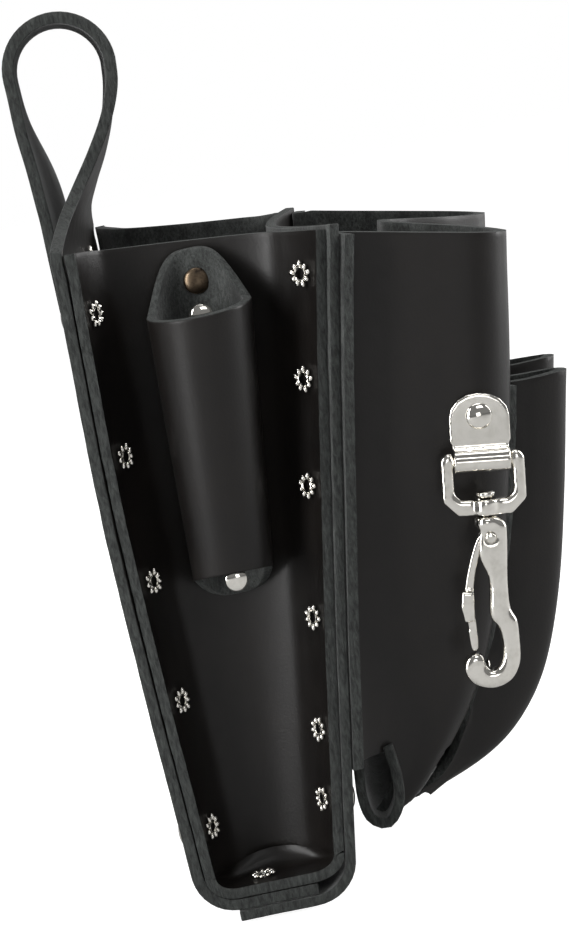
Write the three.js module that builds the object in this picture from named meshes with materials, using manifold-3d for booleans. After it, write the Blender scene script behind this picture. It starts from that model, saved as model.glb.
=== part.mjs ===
// Leather tool pouch for a work belt, with a swivel snap on one side.
// Millimetres, +Z up, the belt runs along X and the wearer stands on the +Y side.
// The origin is the inside crown of the belt loop, where the pouch hangs.
import * as THREE from 'three';
import { mergeVertices } from 'three/addons/utils/BufferGeometryUtils.js';
import Module from 'manifold-3d';

const wasm = await Module();
wasm.setup();

// Leather stock and the air left between two layers
const LEATHER = 3.5;
const BACK_LEATHER = 4;
const SLEEVE_LEATHER = 3;
const GAP = 0.4;
// How far a face may move when small triangles are merged
const SIMPLIFY = 0.04;

// The pouch body
const HALF_WIDTH_TOP = 75;
const HALF_WIDTH_BOTTOM = 68;
const BODY_TOP = -72;
const BODY_BOTTOM = -300;
const BACK_Y = 11;
const BACK_FLOOR = -299.7;
const BACK_CORNER = 12.5;
const BACK_EDGE_FLARE = 4;
const BACK_FLAT = 50;
// The flat that lies on the hip ends here, and the panel above stands a little proud of it
const HIP_TOP = -97;
const HIP_RELIEF = 0.3;

// The belt loop: a strap that rises from the back panel and folds down behind it
const STRAP_HALF = 35;
const SHOULDER_TOP = -50;
const SHOULDER_FOOT = -75;
const CROWN_RADIUS = 17.2;
const CROWN_Y = 3;
const CROWN_Z = -15.2;
const CROWN_TWIST = 0.08;
const TAIL_END = -90.5;

// The front panel leans out towards its top
const FRONT_TOP = -82;
const FRONT_TOP_Y = -79;
const FRONT_CORNER = 14;
const FRONT_CORNER_Y = -27;
const FRONT_FLOOR = BACK_FLOOR - BACK_LEATHER / 2 - GAP - LEATHER / 2;
const FRONT_LEAN = THREE.MathUtils.degToRad(10.3);
const FRONT_BOW_LEFT = 21.5;
const FRONT_BOW_RIGHT = 7;

// Rivets: tubular, a domed head on one side and a split, rolled clinch on the other
const RIVET_SHANK = 1.6;
const RIVET_HEAD = 4.4;
const RIVET_CLINCH = 4;
const RIVET_SEAT = 0.3;
const RIVET_SIDES = 8;
const RIVET_INSET = 7.5;

const BLACK_LEATHER = { color: 0x1d1b19, roughness: 0.55, metalness: 0 };
const NICKEL = { color: 0xd8d6d0, roughness: 0.2, metalness: 1 };
const ANTIQUE = { color: 0x8b7a66, roughness: 0.35, metalness: 1 };

const pouch = new THREE.Group();

const { clamp, lerp, smoothstep } = THREE.MathUtils;
const vec = (x, y, z) => new THREE.Vector3(x, y, z);

// ---------------------------------------------------------------- solids

// A manifold solid from a closed geometry, and back again.
function solidOf(geometry) {
  const bare = geometry.clone();
  bare.deleteAttribute('normal');
  bare.deleteAttribute('uv');
  const merged = mergeVertices(bare, 1e-3);
  return new wasm.Manifold(new wasm.Mesh({
    numProp: 3,
    vertProperties: new Float32Array(merged.attributes.position.array),
    triVerts: new Uint32Array(merged.index.array),
  }));
}

function geometryOf(solid) {
  const mesh = solid.getMesh();
  const geometry = new THREE.BufferGeometry();
  geometry.setAttribute('position', new THREE.BufferAttribute(mesh.vertProperties, 3));
  geometry.setIndex(new THREE.BufferAttribute(mesh.triVerts, 1));
  return geometry;
}

function addMesh(name, geometry, finish) {
  const mesh = new THREE.Mesh(geometry, new THREE.MeshStandardMaterial(finish));
  mesh.name = name;
  pouch.add(mesh);
  return mesh;
}

// The unit normal of surface(u, v), from its two finite differences.
function normalAt(surface, u, v) {
  const step = 1e-3;
  const [u0, u1] = [Math.max(u - step, 0), Math.min(u + step, 1)];
  const [v0, v1] = [Math.max(v - step, 0), Math.min(v + step, 1)];
  const along = surface(u1, v).sub(surface(u0, v));
  const down = surface(u, v1).sub(surface(u, v0));
  return along.cross(down).normalize();
}

const even = (count) => Array.from({ length: count + 1 }, (_, i) => i / count);

// Where a path is cut: its first curve into counts[0] steps, its second into counts[1], and so on.
// A curve with no length, left where an arc joins the path, isn't counted.
function stopsAlong(path, counts) {
  const ends = path.getCurveLengths().filter((end, k, all) => end - (all[k - 1] ?? 0) > 0.01);
  const length = ends[ends.length - 1];
  const stops = [0];
  counts.forEach((count, k) => {
    const start = k === 0 ? 0 : ends[k - 1];
    for (let i = 1; i <= count; i += 1) {
      stops.push(lerp(start, ends[k], i / count) / length);
    }
  });
  return stops;
}

// A closed sheet whose middle is surface(u, v), cut at the given stops; two skins share one rim.
function sheet(surface, thickness, across, down) {
  const points = [];
  for (const side of [1, -1]) {
    for (const v of down) {
      for (const u of across) {
        const shift = normalAt(surface, u, v).multiplyScalar((side * thickness) / 2);
        points.push(...surface(u, v).add(shift).toArray());
      }
    }
  }
  const [columns, rows] = [across.length - 1, down.length - 1];
  const skin = across.length * down.length;
  const at = (i, j) => j * across.length + i;
  const faces = [];
  const quad = (a, b, c, d) => faces.push(a, b, c, a, c, d);
  for (let j = 0; j < rows; j += 1) {
    for (let i = 0; i < columns; i += 1) {
      quad(at(i, j), at(i + 1, j), at(i + 1, j + 1), at(i, j + 1));
      quad(skin + at(i, j), skin + at(i, j + 1), skin + at(i + 1, j + 1), skin + at(i + 1, j));
    }
  }
  for (let i = 0; i < columns; i += 1) {
    quad(at(i, 0), skin + at(i, 0), skin + at(i + 1, 0), at(i + 1, 0));
    quad(at(i, rows), at(i + 1, rows), skin + at(i + 1, rows), skin + at(i, rows));
  }
  for (let j = 0; j < rows; j += 1) {
    quad(at(0, j), at(0, j + 1), skin + at(0, j + 1), skin + at(0, j));
    quad(at(columns, j), skin + at(columns, j), skin + at(columns, j + 1), at(columns, j + 1));
  }
  const geometry = new THREE.BufferGeometry();
  geometry.setAttribute('position', new THREE.Float32BufferAttribute(points, 3));
  geometry.setIndex(faces);
  const solid = solidOf(geometry);
  return solid.volume() > 0 ? solid : solidOf(flipped(geometry));
}

function flipped(geometry) {
  const turned = geometry.clone();
  const index = turned.index.array;
  for (let i = 0; i < index.length; i += 3) {
    [index[i], index[i + 1]] = [index[i + 1], index[i]];
  }
  return turned;
}

// ---------------------------------------------------------------- rivets

const rivets = [];
const drills = {};

// Stands a piece that was made along +Y at a point, with its +Y along the given direction.
function standing(geometry, point, direction) {
  const turn = new THREE.Quaternion().setFromUnitVectors(vec(0, 1, 0), direction);
  return geometry.clone().applyQuaternion(turn).translate(point.x, point.y, point.z);
}

// A rivet through the named layers; outer is the height of its head face, inner of its clinch face.
function rivet(name, point, direction, outer, inner, layers, finish = NICKEL) {
  const top = outer + RIVET_SEAT + 0.05;
  const foot = inner - RIVET_SEAT - 0.05;
  const profile = [
    [0, top + 1.5], [RIVET_HEAD, top], [RIVET_SHANK, top], [RIVET_SHANK, foot], [RIVET_CLINCH, foot],
    [RIVET_CLINCH - 0.6, foot - 1.2], [0, foot - 1.2],
  ].map(([r, h]) => new THREE.Vector2(r, h)).reverse();
  const body = new THREE.LatheGeometry(profile, RIVET_SIDES);
  rivets.push([name, standing(body, point, direction), finish]);
  for (const layer of layers) {
    drills[layer] = drills[layer] ?? [];
    drills[layer].push(
      drillBit(RIVET_SHANK + GAP, inner - 4, outer + 4, point, direction),
      drillBit(RIVET_HEAD + RIVET_SEAT, outer + RIVET_SEAT, outer + 4, point, direction),
      drillBit(RIVET_CLINCH + RIVET_SEAT, inner - 4, inner - RIVET_SEAT, point, direction),
    );
  }
}

// A cylinder from one height to another along a rivet, which presses its seat into the leather.
function drillBit(radius, low, high, point, direction) {
  const bit = new THREE.CylinderGeometry(radius, radius, high - low, RIVET_SIDES);
  return solidOf(standing(bit.translate(0, (low + high) / 2, 0), point, direction));
}

// Adds a piece with the holes of its rivets punched through.
function addPiece(name, solid, finish = BLACK_LEATHER) {
  const punched = (drills[name] ?? []).reduce((piece, drill) => piece.subtract(drill), solid);
  addMesh(name, geometryOf(punched.simplify(SIMPLIFY)), finish);
}

// ---------------------------------------------------------------- panel shapes

// Half the width of the body at a height.
function halfWidth(z) {
  const down = clamp((BODY_TOP - z) / (BODY_TOP - BODY_BOTTOM), 0, 1);
  return lerp(HALF_WIDTH_TOP, HALF_WIDTH_BOTTOM, down);
}

// How far the back panel's side edges curl towards the wearer.
function backFlare(x, z) {
  const down = clamp((BODY_TOP - 8 - z) / 210, 0, 1);
  const edge = clamp((Math.abs(x) - BACK_FLAT) / (HALF_WIDTH_TOP - BACK_FLAT), 0, 1);
  return BACK_EDGE_FLARE * Math.sin(Math.PI * down) * edge * edge;
}

const backMiddle = (x, z) => BACK_Y + backFlare(x, z);

// The straight lean of the front panel at its side edges, and its bow towards the wearer.
const frontEdge = (z) => FRONT_TOP_Y + (FRONT_TOP - z) * Math.tan(FRONT_LEAN);

function frontBow(x, z) {
  const across = 1 - (x / HALF_WIDTH_TOP) ** 2;
  const down = clamp((z - BODY_BOTTOM + 12) / (FRONT_TOP - BODY_BOTTOM + 12), 0, 1);
  const full = x < 0
    ? FRONT_BOW_LEFT * across
    : FRONT_BOW_RIGHT * across + FRONT_BOW_LEFT - FRONT_BOW_RIGHT;
  return full * down;
}

const frontMiddle = (x, z) => frontEdge(z) + frontBow(x, z);

// A layer lying on a panel: its middle is set off along the panel's own slope.
function layerOn(middle, distance) {
  const step = 0.5;
  return (x, z) => {
    const across = (middle(x + step, z) - middle(x - step, z)) / (2 * step);
    const down = (middle(x, z + step) - middle(x, z - step)) / (2 * step);
    return middle(x, z) + distance * Math.hypot(1, across, down);
  };
}

const backLayer = layerOn(backMiddle, -(BACK_LEATHER / 2 + GAP + LEATHER / 2));
const frontInside = layerOn(frontMiddle, LEATHER + GAP);
const frontOutside = layerOn(frontMiddle, -(LEATHER + GAP));

// ---------------------------------------------------------------- back panel and belt loop

// The back panel seen from the side: floor, corner, panel, strap, crown and tail.
function backPath() {
  const path = new THREE.Path();
  path.moveTo(-22, BACK_FLOOR);
  path.lineTo(BACK_Y - BACK_CORNER, BACK_FLOOR);
  path.absarc(BACK_Y - BACK_CORNER, BACK_FLOOR + BACK_CORNER, BACK_CORNER, -Math.PI / 2, 0, false);
  path.lineTo(BACK_Y, HIP_TOP);
  path.lineTo(BACK_Y + HIP_RELIEF, SHOULDER_FOOT);
  path.splineThru([
    [8.4, -65], [2.9, -55.5], [-3.5, -45.5], [-9.6, -34], [-13.3, -23],
    [CROWN_Y - CROWN_RADIUS, CROWN_Z],
  ].map(([y, z]) => new THREE.Vector2(y, z)));
  path.absarc(CROWN_Y, CROWN_Z, CROWN_RADIUS, Math.PI, 0, true);
  path.splineThru([
    [19.6, -31], [17, -47], [15.8, -60], [15.8, -74], [15.8, TAIL_END],
  ].map(([y, z]) => new THREE.Vector2(y, z)));
  return path;
}

function backSurface(path) {
  const length = path.getLength();
  return (u, v) => {
    const spot = path.getPointAt(clamp(v, 0, 1));
    const along = v * length;
    const shoulder = clamp((SHOULDER_TOP - spot.y) / (SHOULDER_TOP - BODY_TOP), 0, 1);
    const rising = along < length * 0.74;
    const strap = rising ? STRAP_HALF + (HALF_WIDTH_TOP - STRAP_HALF) * shoulder ** 2 : STRAP_HALF;
    const half = rising && spot.y < BODY_TOP ? halfWidth(spot.y) : strap;
    const x = (2 * u - 1) * half;
    const flare = rising ? backFlare(x, spot.y) : 0;
    const twist = CROWN_TWIST * smoothstep(spot.y, -60, -20);
    return vec(x, spot.x + flare + twist * x, spot.y);
  };
}

// ---------------------------------------------------------------- front panel

function frontPath() {
  const path = new THREE.Path();
  path.moveTo(-0.5, FRONT_FLOOR);
  path.lineTo(FRONT_CORNER_Y, FRONT_FLOOR);
  const end = Math.PI + FRONT_LEAN;
  path.absarc(FRONT_CORNER_Y, FRONT_FLOOR + FRONT_CORNER, FRONT_CORNER, -Math.PI / 2, end, true);
  path.lineTo(FRONT_TOP_Y, FRONT_TOP);
  return path;
}

function frontSurface(path) {
  return (u, v) => {
    const spot = path.getPointAt(clamp(v, 0, 1));
    const x = (2 * u - 1) * halfWidth(spot.y);
    return vec(x, spot.x + frontBow(x, spot.y), spot.y);
  };
}

// ---------------------------------------------------------------- gussets

const GUSSET_FLANGE = 13;
const GUSSET_DEPTH = 18;
const GUSSET_DISH = 6;
const GUSSET_TOP_BACK = -74;
const GUSSET_TOP_FRONT = -83;
const GUSSET_FOOT = -289;
const TONGUE_BEND = 9;
const TONGUE_Z = BACK_FLOOR + BACK_LEATHER / 2 + GAP + LEATHER / 2;

// The plan of a gusset: flange, bend, dished web, bend, flange. side is -1 or 1, and down runs
// from the slanted mouth at 0 to the foot at 1.
function gussetPlan(side, down) {
  const height = (share) => lerp(lerp(GUSSET_TOP_BACK, GUSSET_TOP_FRONT, share), GUSSET_FOOT, down);
  const point = (inset, share, y) => {
    const z = height(share);
    const x = side * (halfWidth(z) - inset);
    return vec(x, y(x, z), z);
  };
  const middle = (x, z) => (backLayer(x, z) + frontInside(x, z)) / 2;
  return new THREE.CatmullRomCurve3([
    point(0, 0, backLayer),
    point(GUSSET_FLANGE - 4, 0.08, backLayer),
    point(GUSSET_FLANGE, 0.1, (x, z) => backLayer(x, z) - 1.2),
    point(GUSSET_DEPTH, 0.2, (x, z) => backLayer(x, z) - 9),
    point(GUSSET_DEPTH + GUSSET_DISH, 0.5, middle),
    point(GUSSET_DEPTH, 0.8, (x, z) => frontInside(x, z) + 9),
    point(GUSSET_FLANGE, 0.9, (x, z) => frontInside(x, z) + 1.2),
    point(GUSSET_FLANGE - 4, 0.92, frontInside),
    point(0, 1, frontInside),
  ], false, 'centripetal');
}

function gussetSurface(side) {
  const plans = new Map();
  return (u, v) => {
    const key = v.toFixed(4);
    if (!plans.has(key)) {
      plans.set(key, gussetPlan(side, v));
    }
    return plans.get(key).getPointAt(clamp(u, 0, 1));
  };
}

// The tongue: the web's lower end, bent outwards over the floor of the pouch.
function tonguePath() {
  const edge = halfWidth(BODY_BOTTOM);
  const web = edge - GUSSET_DEPTH - 2;
  const path = new THREE.Path();
  path.moveTo(web, GUSSET_FOOT + 4);
  path.lineTo(web, TONGUE_Z + TONGUE_BEND);
  path.absarc(web + TONGUE_BEND, TONGUE_Z + TONGUE_BEND, TONGUE_BEND, Math.PI, 1.5 * Math.PI, false);
  path.lineTo(edge, TONGUE_Z);
  return path;
}

// It is as wide as the room between the rounded lower corners of the two panels.
function tongueSurface(path, side) {
  const room = (radius, centre, z) => Math.sqrt(
    Math.max(radius ** 2 - Math.min(z - centre, 0) ** 2, 0),
  );
  const back = BACK_CORNER - BACK_LEATHER / 2 - GAP;
  const front = FRONT_CORNER - LEATHER / 2 - GAP;
  return (u, v) => {
    const spot = path.getPointAt(clamp(v, 0, 1));
    const [x, under] = [side * spot.x, spot.y - LEATHER / 2];
    const near = BACK_Y - BACK_CORNER + room(back, BACK_FLOOR + BACK_CORNER, under);
    const far = FRONT_CORNER_Y - room(front, FRONT_FLOOR + FRONT_CORNER, under);
    return vec(x, lerp(near - GAP, far + frontBow(x, under) + 2 * GAP, u), spot.y);
  };
}

function gusset(side) {
  const channel = sheet(gussetSurface(side), LEATHER, even(16), even(6));
  const path = tonguePath();
  return channel.add(sheet(tongueSurface(path, side), LEATHER, even(3), stopsAlong(path, [1, 6, 1])));
}

// ---------------------------------------------------------------- pockets

const POCKET_TOP = -84;
const MOUTH_ROOT = -72;
const MOUTH_DEPTH = 60;
const UPPER_MOUTH_DROP = 13;
const LOWER_MOUTH_DROP = 3;
const UPPER_VALLEY = 0.41;
const WALL_LEAN_TOP = -155;
const WALL_LEAN = 0.1;
// The upper leather's lower outer corners are cut away below this height
const CORNER_CUT = -262;
const CORNER_SIZE = { x: 26, y: 40, z: 40 };

// The outline of a pocket seen from the side: a curve from its mouth to its foot.
function outline(points) {
  return new THREE.CatmullRomCurve3(points.map(([y, z]) => vec(0, y, z)), false, 'centripetal');
}

const upperOutline = outline([
  [-132.2, POCKET_TOP], [-122, -150], [-108.5, -208], [-90.5, -252], [-67, -281], [-52, -288],
]);
const lowerOutline = outline([
  [-144.8, -147], [-135, -195], [-126, -230], [-114, -259], [-98, -276], [-86, -281], [-76.5, -283.5],
]);

// The plan of the upper leather: near wall, tight bend, return, valley, and the same mirrored.
// Its side walls lean inwards below WALL_LEAN_TOP.
function upperPlan(reach, z) {
  const edge = halfWidth(z);
  const lean = Math.max(0, WALL_LEAN_TOP - z) * WALL_LEAN;
  const seam = (x) => frontOutside(x, z);
  const fade = smoothstep(-z, 250, 282);
  const at = (side, inset, share) => {
    const x = side * (edge - inset);
    const root = lerp(seam(12 - edge), seam(edge - 12), smoothstep(x, -30, 30));
    return vec(x, lerp(root, reach, lerp(share, 0.96, fade * (inset > 30 ? 1 : 0))), z);
  };
  const wall = (side) => [
    vec(side * edge, seam(side * edge), z),
    vec(side * (edge - 9), seam(side * (edge - 9)), z),
    vec(side * (edge - 12), seam(side * (edge - 12)) - 1.3, z),
    at(side, 13.5 + 0.4 * lean, 0.25), at(side, 13 + 0.9 * lean, 0.6), at(side, 14 + lean, 0.88),
    at(side, 21 + 0.8 * lean, 1), at(side, edge - 40, 0.96), at(side, edge - 26, 0.8),
    at(side, edge - 12, 0.53), at(side, edge - 5.5, UPPER_VALLEY + 0.01),
  ];
  const plan = [...wall(-1), at(1, edge, UPPER_VALLEY), ...wall(1).reverse()];
  return new THREE.CatmullRomCurve3(plan, false, 'centripetal');
}

// The plan of the lower leather, whose flanges lie on the upper leather's returns.
function lowerPlan(reach, z) {
  const edge = halfWidth(z);
  const behind = upperPlan(upperReach(z), z);
  const clear = (LEATHER + GAP) * Math.hypot(1, upperFall(z)) + 1;
  const on = (side, x) => {
    const spot = spotOnReturn(behind, side, x);
    return spot.point.addScaledVector(spot.outward, clear);
  };
  const valley = on(1, 0);
  valley.y = lerp(valley.y, reach, 0.8 * smoothstep(-z, 262, 283));
  const wall = (side) => {
    const flange = on(side, edge - 39);
    return [
      on(side, edge - 29), on(side, edge - 34), flange,
      vec(side * (edge - 43), lerp(flange.y, reach, 0.6), z), vec(side * (edge - 48), reach, z),
      vec(side * (edge - 55), reach + 1.5, z), vec(side * 13, lerp(reach, valley.y, 0.55), z),
      on(side, 6.5),
    ];
  };
  const plan = [...wall(-1), valley, ...wall(1).reverse()];
  return new THREE.CatmullRomCurve3(plan, false, 'centripetal');
}

// A point of the upper leather's plan between its bend and its valley, and its way out.
function spotOnReturn(plan, side, x) {
  let [low, high] = side < 0 ? [0.05, 0.5] : [0.5, 0.95];
  for (let i = 0; i < 20; i += 1) {
    const middle = (low + high) / 2;
    [low, high] = plan.getPointAt(middle).x < side * x ? [middle, high] : [low, middle];
  }
  const tangent = plan.getTangentAt(low);
  return { point: plan.getPointAt(low), outward: vec(tangent.y, -tangent.x, 0).normalize() };
}

// How fast the upper outline runs back towards the pouch on its way down.
const upperFall = (z) => (upperReach(z - 4) - upperReach(z + 4)) / 8;

// Where the upper outline stands at a height.
function upperReach(z) {
  let [low, high] = [0, 1];
  for (let i = 0; i < 20; i += 1) {
    const middle = (low + high) / 2;
    [low, high] = upperOutline.getPoint(middle).z > z ? [middle, high] : [low, middle];
  }
  return upperOutline.getPoint(low).y;
}

// The mouth drops towards the front by the given amount, and the rows below it drop less and less.
function pocketSurface(curve, planAt, mouthDrop) {
  const plans = new Map();
  return (u, v) => {
    const key = v.toFixed(4);
    if (!plans.has(key)) {
      const spot = curve.getPointAt(clamp(v, 0, 1));
      plans.set(key, planAt(spot.y, spot.z));
    }
    const point = plans.get(key).getPointAt(clamp(u, 0, 1));
    const out = clamp((MOUTH_ROOT - point.y) / MOUTH_DEPTH, 0, 1);
    point.z -= mouthDrop * out * (1 - clamp(v, 0, 1)) ** 2;
    return point;
  };
}

// The foot of the upper leather, turned up again against the front panel.
function footPath() {
  const path = new THREE.Path();
  path.moveTo(-66, -281.6);
  path.splineThru([[-58, -286.5], [-51, -285.5], [-47.9, -279], [-49, -270], [-50.6, -261]].map(
    ([y, z]) => new THREE.Vector2(y, z)));
  return path;
}

function upperLeather() {
  const surface = pocketSurface(upperOutline, upperPlan, UPPER_MOUTH_DROP);
  const body = sheet(surface, LEATHER, even(38), even(9));
  const path = footPath();
  const reach = HALF_WIDTH_BOTTOM - 14;
  const foot = sheet((u, v) => {
    const spot = path.getPointAt(clamp(v, 0, 1));
    return vec(lerp(-reach, reach, u), spot.x, spot.y);
  }, LEATHER, even(2), even(10));
  return cornersOpened(body.add(foot));
}

// The lower outer corners of the upper leather are cut away, so the pocket is open there.
function cornersOpened(solid) {
  const cut = new THREE.BoxGeometry(CORNER_SIZE.x, CORNER_SIZE.y, CORNER_SIZE.z);
  const [x, z] = [HALF_WIDTH_BOTTOM + 1.5, CORNER_CUT - CORNER_SIZE.z / 2];
  return [-1, 1].reduce((piece, side) => piece.subtract(
    solidOf(cut.clone().translate(side * x, -40, z)),
  ), solid);
}

// ---------------------------------------------------------------- tool sleeve

const SLEEVE_TOP = { x: -72.3, y: -30.3, z: -98, radius: 16 };
const SLEEVE_FOOT = { x: -64.2, y: -22.3, z: -192, radius: 12 };
const SLEEVE_HEIGHT = SLEEVE_TOP.z - SLEEVE_FOOT.z;
const SLEEVE_SLIT = THREE.MathUtils.degToRad(14);
const SLEEVE_STRIP_HALF = 8;
const SLEEVE_DIP = 3;

// A tapered tube, rolled with its open joint towards the gusset.
function sleeveSurface(u, v) {
  const angle = lerp(SLEEVE_SLIT, 2 * Math.PI - SLEEVE_SLIT, u);
  const radius = lerp(SLEEVE_TOP.radius, SLEEVE_FOOT.radius, v);
  const dip = SLEEVE_DIP * (1 - v) * (1 - Math.cos(angle)) / 2;
  return vec(
    lerp(SLEEVE_TOP.x, SLEEVE_FOOT.x, v) + radius * Math.cos(angle),
    lerp(SLEEVE_TOP.y, SLEEVE_FOOT.y, v) + radius * Math.sin(angle),
    lerp(SLEEVE_TOP.z, SLEEVE_FOOT.z, v) - dip,
  );
}

// The middle of the tube's back wall: 0 at the mouth and 1 at the foot.
function sleeveBack(along) {
  return vec(
    lerp(SLEEVE_TOP.x + SLEEVE_TOP.radius, SLEEVE_FOOT.x + SLEEVE_FOOT.radius, along),
    lerp(SLEEVE_TOP.y, SLEEVE_FOOT.y, along),
    lerp(SLEEVE_TOP.z, SLEEVE_FOOT.z, along),
  );
}

// The strip behind the tube stands above its mouth as a rounded flap, below its foot as a tab.
function sleeveStrip() {
  const rows = [
    [-17, 2], [-16.2, 5], [-14, 7.4], [-10, 9], [-1, 12.5], [6, SLEEVE_STRIP_HALF],
    [SLEEVE_HEIGHT, SLEEVE_STRIP_HALF - 2], [SLEEVE_HEIGHT + 3.5, SLEEVE_STRIP_HALF - 3],
    [SLEEVE_HEIGHT + 5, 2],
  ];
  return sheet((u, v) => {
    const row = Math.min(Math.floor(v * 8), 7);
    const share = v * 8 - row;
    const drop = lerp(rows[row][0], rows[row + 1][0], share);
    const half = lerp(rows[row][1], rows[row + 1][1], share);
    return sleeveBack(drop / SLEEVE_HEIGHT).add(vec(0, (2 * u - 1) * half, 0));
  }, SLEEVE_LEATHER, even(2), even(8));
}

function sleeve() {
  return sheet(sleeveSurface, SLEEVE_LEATHER, even(18), even(3)).add(sleeveStrip());
}

// ---------------------------------------------------------------- where the rivets go

const BACK_RIVET_HEIGHTS = [-95, -143, -186, -228, -273];
const FRONT_RIVET_HEIGHTS = [-97, -131, -166, -210, -248, -272];
const FLOOR_RIVET_Y = -10.4;
const LOWER_POCKET_RIVET_HEIGHTS = [-162, -202, -242];
const LOWER_POCKET_RIVET_INSET = 33.6;
const FOOT_RIVET_X = 30;
const FOOT_RIVET_Z = -270;
const STRAP_RIVET_X = 22;
const STRAP_RIVET_Z = -82;

// The way out of a panel at a point; outside is 1 towards the wearer and -1 towards the pockets.
function panelNormal(middle, x, z, outside) {
  const step = 0.5;
  const across = (middle(x + step, z) - middle(x - step, z)) / (2 * step);
  const down = (middle(x, z + step) - middle(x, z - step)) / (2 * step);
  return vec(-across, 1, -down).normalize().multiplyScalar(outside);
}

function gussetRivets(side, label) {
  BACK_RIVET_HEIGHTS.forEach((z, i) => {
    const x = side * (halfWidth(z) - RIVET_INSET);
    rivet(`${label}_back_rivet_${i + 1}`, vec(x, backMiddle(x, z), z),
      panelNormal(backMiddle, x, z, 1), BACK_LEATHER / 2, -(BACK_LEATHER / 2 + GAP + LEATHER),
      ['back_panel_with_belt_loop', `${label}_gusset`]);
  });
  FRONT_RIVET_HEIGHTS.forEach((z, i) => {
    const x = side * (halfWidth(z) - RIVET_INSET);
    const covered = z > CORNER_CUT ? GAP + LEATHER : 0;
    rivet(`${label}_front_rivet_${i + 1}`, vec(x, frontMiddle(x, z), z),
      panelNormal(frontMiddle, x, z, -1), LEATHER / 2 + covered, -(LEATHER / 2 + GAP + LEATHER),
      ['front_panel', `${label}_gusset`, 'upper_pocket_leather']);
  });
  const floorX = side * (HALF_WIDTH_BOTTOM - RIVET_INSET);
  rivet(`${label}_floor_rivet`, vec(floorX, FLOOR_RIVET_Y, BACK_FLOOR), vec(0, 0, -1),
    BACK_LEATHER / 2 + GAP + LEATHER, -(BACK_LEATHER / 2 + GAP + LEATHER),
    ['back_panel_with_belt_loop', 'front_panel', `${label}_gusset`]);
}

function pocketRivets() {
  LOWER_POCKET_RIVET_HEIGHTS.forEach((z, i) => {
    const plan = upperPlan(upperReach(z), z);
    const fall = vec(0, 0, -upperFall(z));
    const clear = LEATHER + GAP + 1;
    const layers = ['upper_pocket_leather', 'lower_pocket_leather'];
    const spots = [
      ['left_lower_pocket', spotOnReturn(plan, -1, halfWidth(z) - LOWER_POCKET_RIVET_INSET)],
      ['pocket_valley', spotOnReturn(plan, 1, 0)],
      ['right_lower_pocket', spotOnReturn(plan, 1, halfWidth(z) - LOWER_POCKET_RIVET_INSET)],
    ];
    for (const [label, spot] of spots) {
      rivet(`${label}_rivet_${i + 1}`, spot.point, spot.outward.add(fall).normalize(),
        clear + LEATHER / 2 + 0.5, -LEATHER / 2 - 0.3, layers);
    }
  });
  [-FOOT_RIVET_X, FOOT_RIVET_X].forEach((x, i) => {
    rivet(`pocket_foot_rivet_${i + 1}`, vec(x, frontMiddle(x, FOOT_RIVET_Z), FOOT_RIVET_Z),
      panelNormal(frontMiddle, x, FOOT_RIVET_Z, -1), LEATHER * 1.5 + GAP + 2.4, -LEATHER / 2,
      ['front_panel', 'upper_pocket_leather']);
  });
}

function strapRivets() {
  [-STRAP_RIVET_X, STRAP_RIVET_X].forEach((x, i) => {
    rivet(`belt_loop_rivet_${i + 1}`, vec(x, BACK_Y, STRAP_RIVET_Z), vec(0, 1, 0),
      BACK_LEATHER * 1.5 + 0.5, -BACK_LEATHER / 2, ['back_panel_with_belt_loop']);
  });
}

function sleeveRivets() {
  const out = vec(-1, 0, 0);
  const spots = [['sleeve_flap_rivet', -6, ANTIQUE], ['sleeve_mouth_rivet', 6, NICKEL],
    ['sleeve_foot_rivet', SLEEVE_HEIGHT + 1, NICKEL]];
  for (const [name, drop, finish] of spots) {
    const point = sleeveBack(drop / SLEEVE_HEIGHT);
    rivet(name, point, out, SLEEVE_LEATHER / 2 + 0.2, -(SLEEVE_LEATHER / 2 + LEATHER + 2),
      ['tool_sleeve', 'left_gusset'], finish);
  }
}

// ---------------------------------------------------------------- swivel snap

// The snap's own frame: x out of the pocket's wall, y along the hinge, z up its swivel axis.
const SNAP = { x: -67.5, y: -110.5, z: -168.5 };
const SNAP_TILT = THREE.MathUtils.degToRad(8);
const PLATE_HALF = 10;
const PLATE_TOP = 22;
const PLATE_SHEET = 2.2;
const PLATE_STAND = 3.6;
const BARREL_RADIUS = 4;
const BARREL_BORE = 2.1;
const BARREL_HALF = 9.3;
const EYE_BAR = 1.7;
const EYE_HALF = 13.9;
const EYE_WINDOW_HALF = 9.75;
const EYE_TOP = 3;
const EYE_WINDOW_FOOT = 12.7;
const EYE_FOOT = 18.2;
const EYE_SHEET = 4;
const SWIVEL_Y = -0.3;
const NECK_RADIUS = 2;
const BOSS_RADIUS = 4.4;
const SNAP_SHEET = 6.4;
const SLOT_WIDTH = 3.2;
const LEVER_SHEET = 2.6;
const LEVER_PIVOT = [-1.2, -25.5];
const PIN_RADIUS = 1.1;

// Moves a solid from the snap's own frame to its place on the pouch.
function snapPlaced(solid) {
  const turn = new THREE.Matrix4().makeRotationX(SNAP_TILT);
  const place = new THREE.Matrix4().makeTranslation(SNAP.x, SNAP.y, SNAP.z).multiply(turn);
  return solid.transform(place.toArray());
}

// A plate cut to an outline of [y, z] corners, centred on the snap's middle plane.
function plate(corners, thickness, smooth = false) {
  const points = corners.map(([y, z]) => new THREE.Vector2(y, z));
  const shape = smooth
    ? new THREE.Shape(new THREE.SplineCurve([...points, points[0]]).getPoints(points.length * 3))
    : new THREE.Shape(points);
  const geometry = new THREE.ExtrudeGeometry(shape, { depth: thickness, bevelEnabled: false });
  const upright = new THREE.Matrix4().makeBasis(vec(0, 1, 0), vec(0, 0, 1), vec(1, 0, 0));
  return solidOf(geometry.applyMatrix4(upright).translate(-thickness / 2, 0, 0));
}

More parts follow.
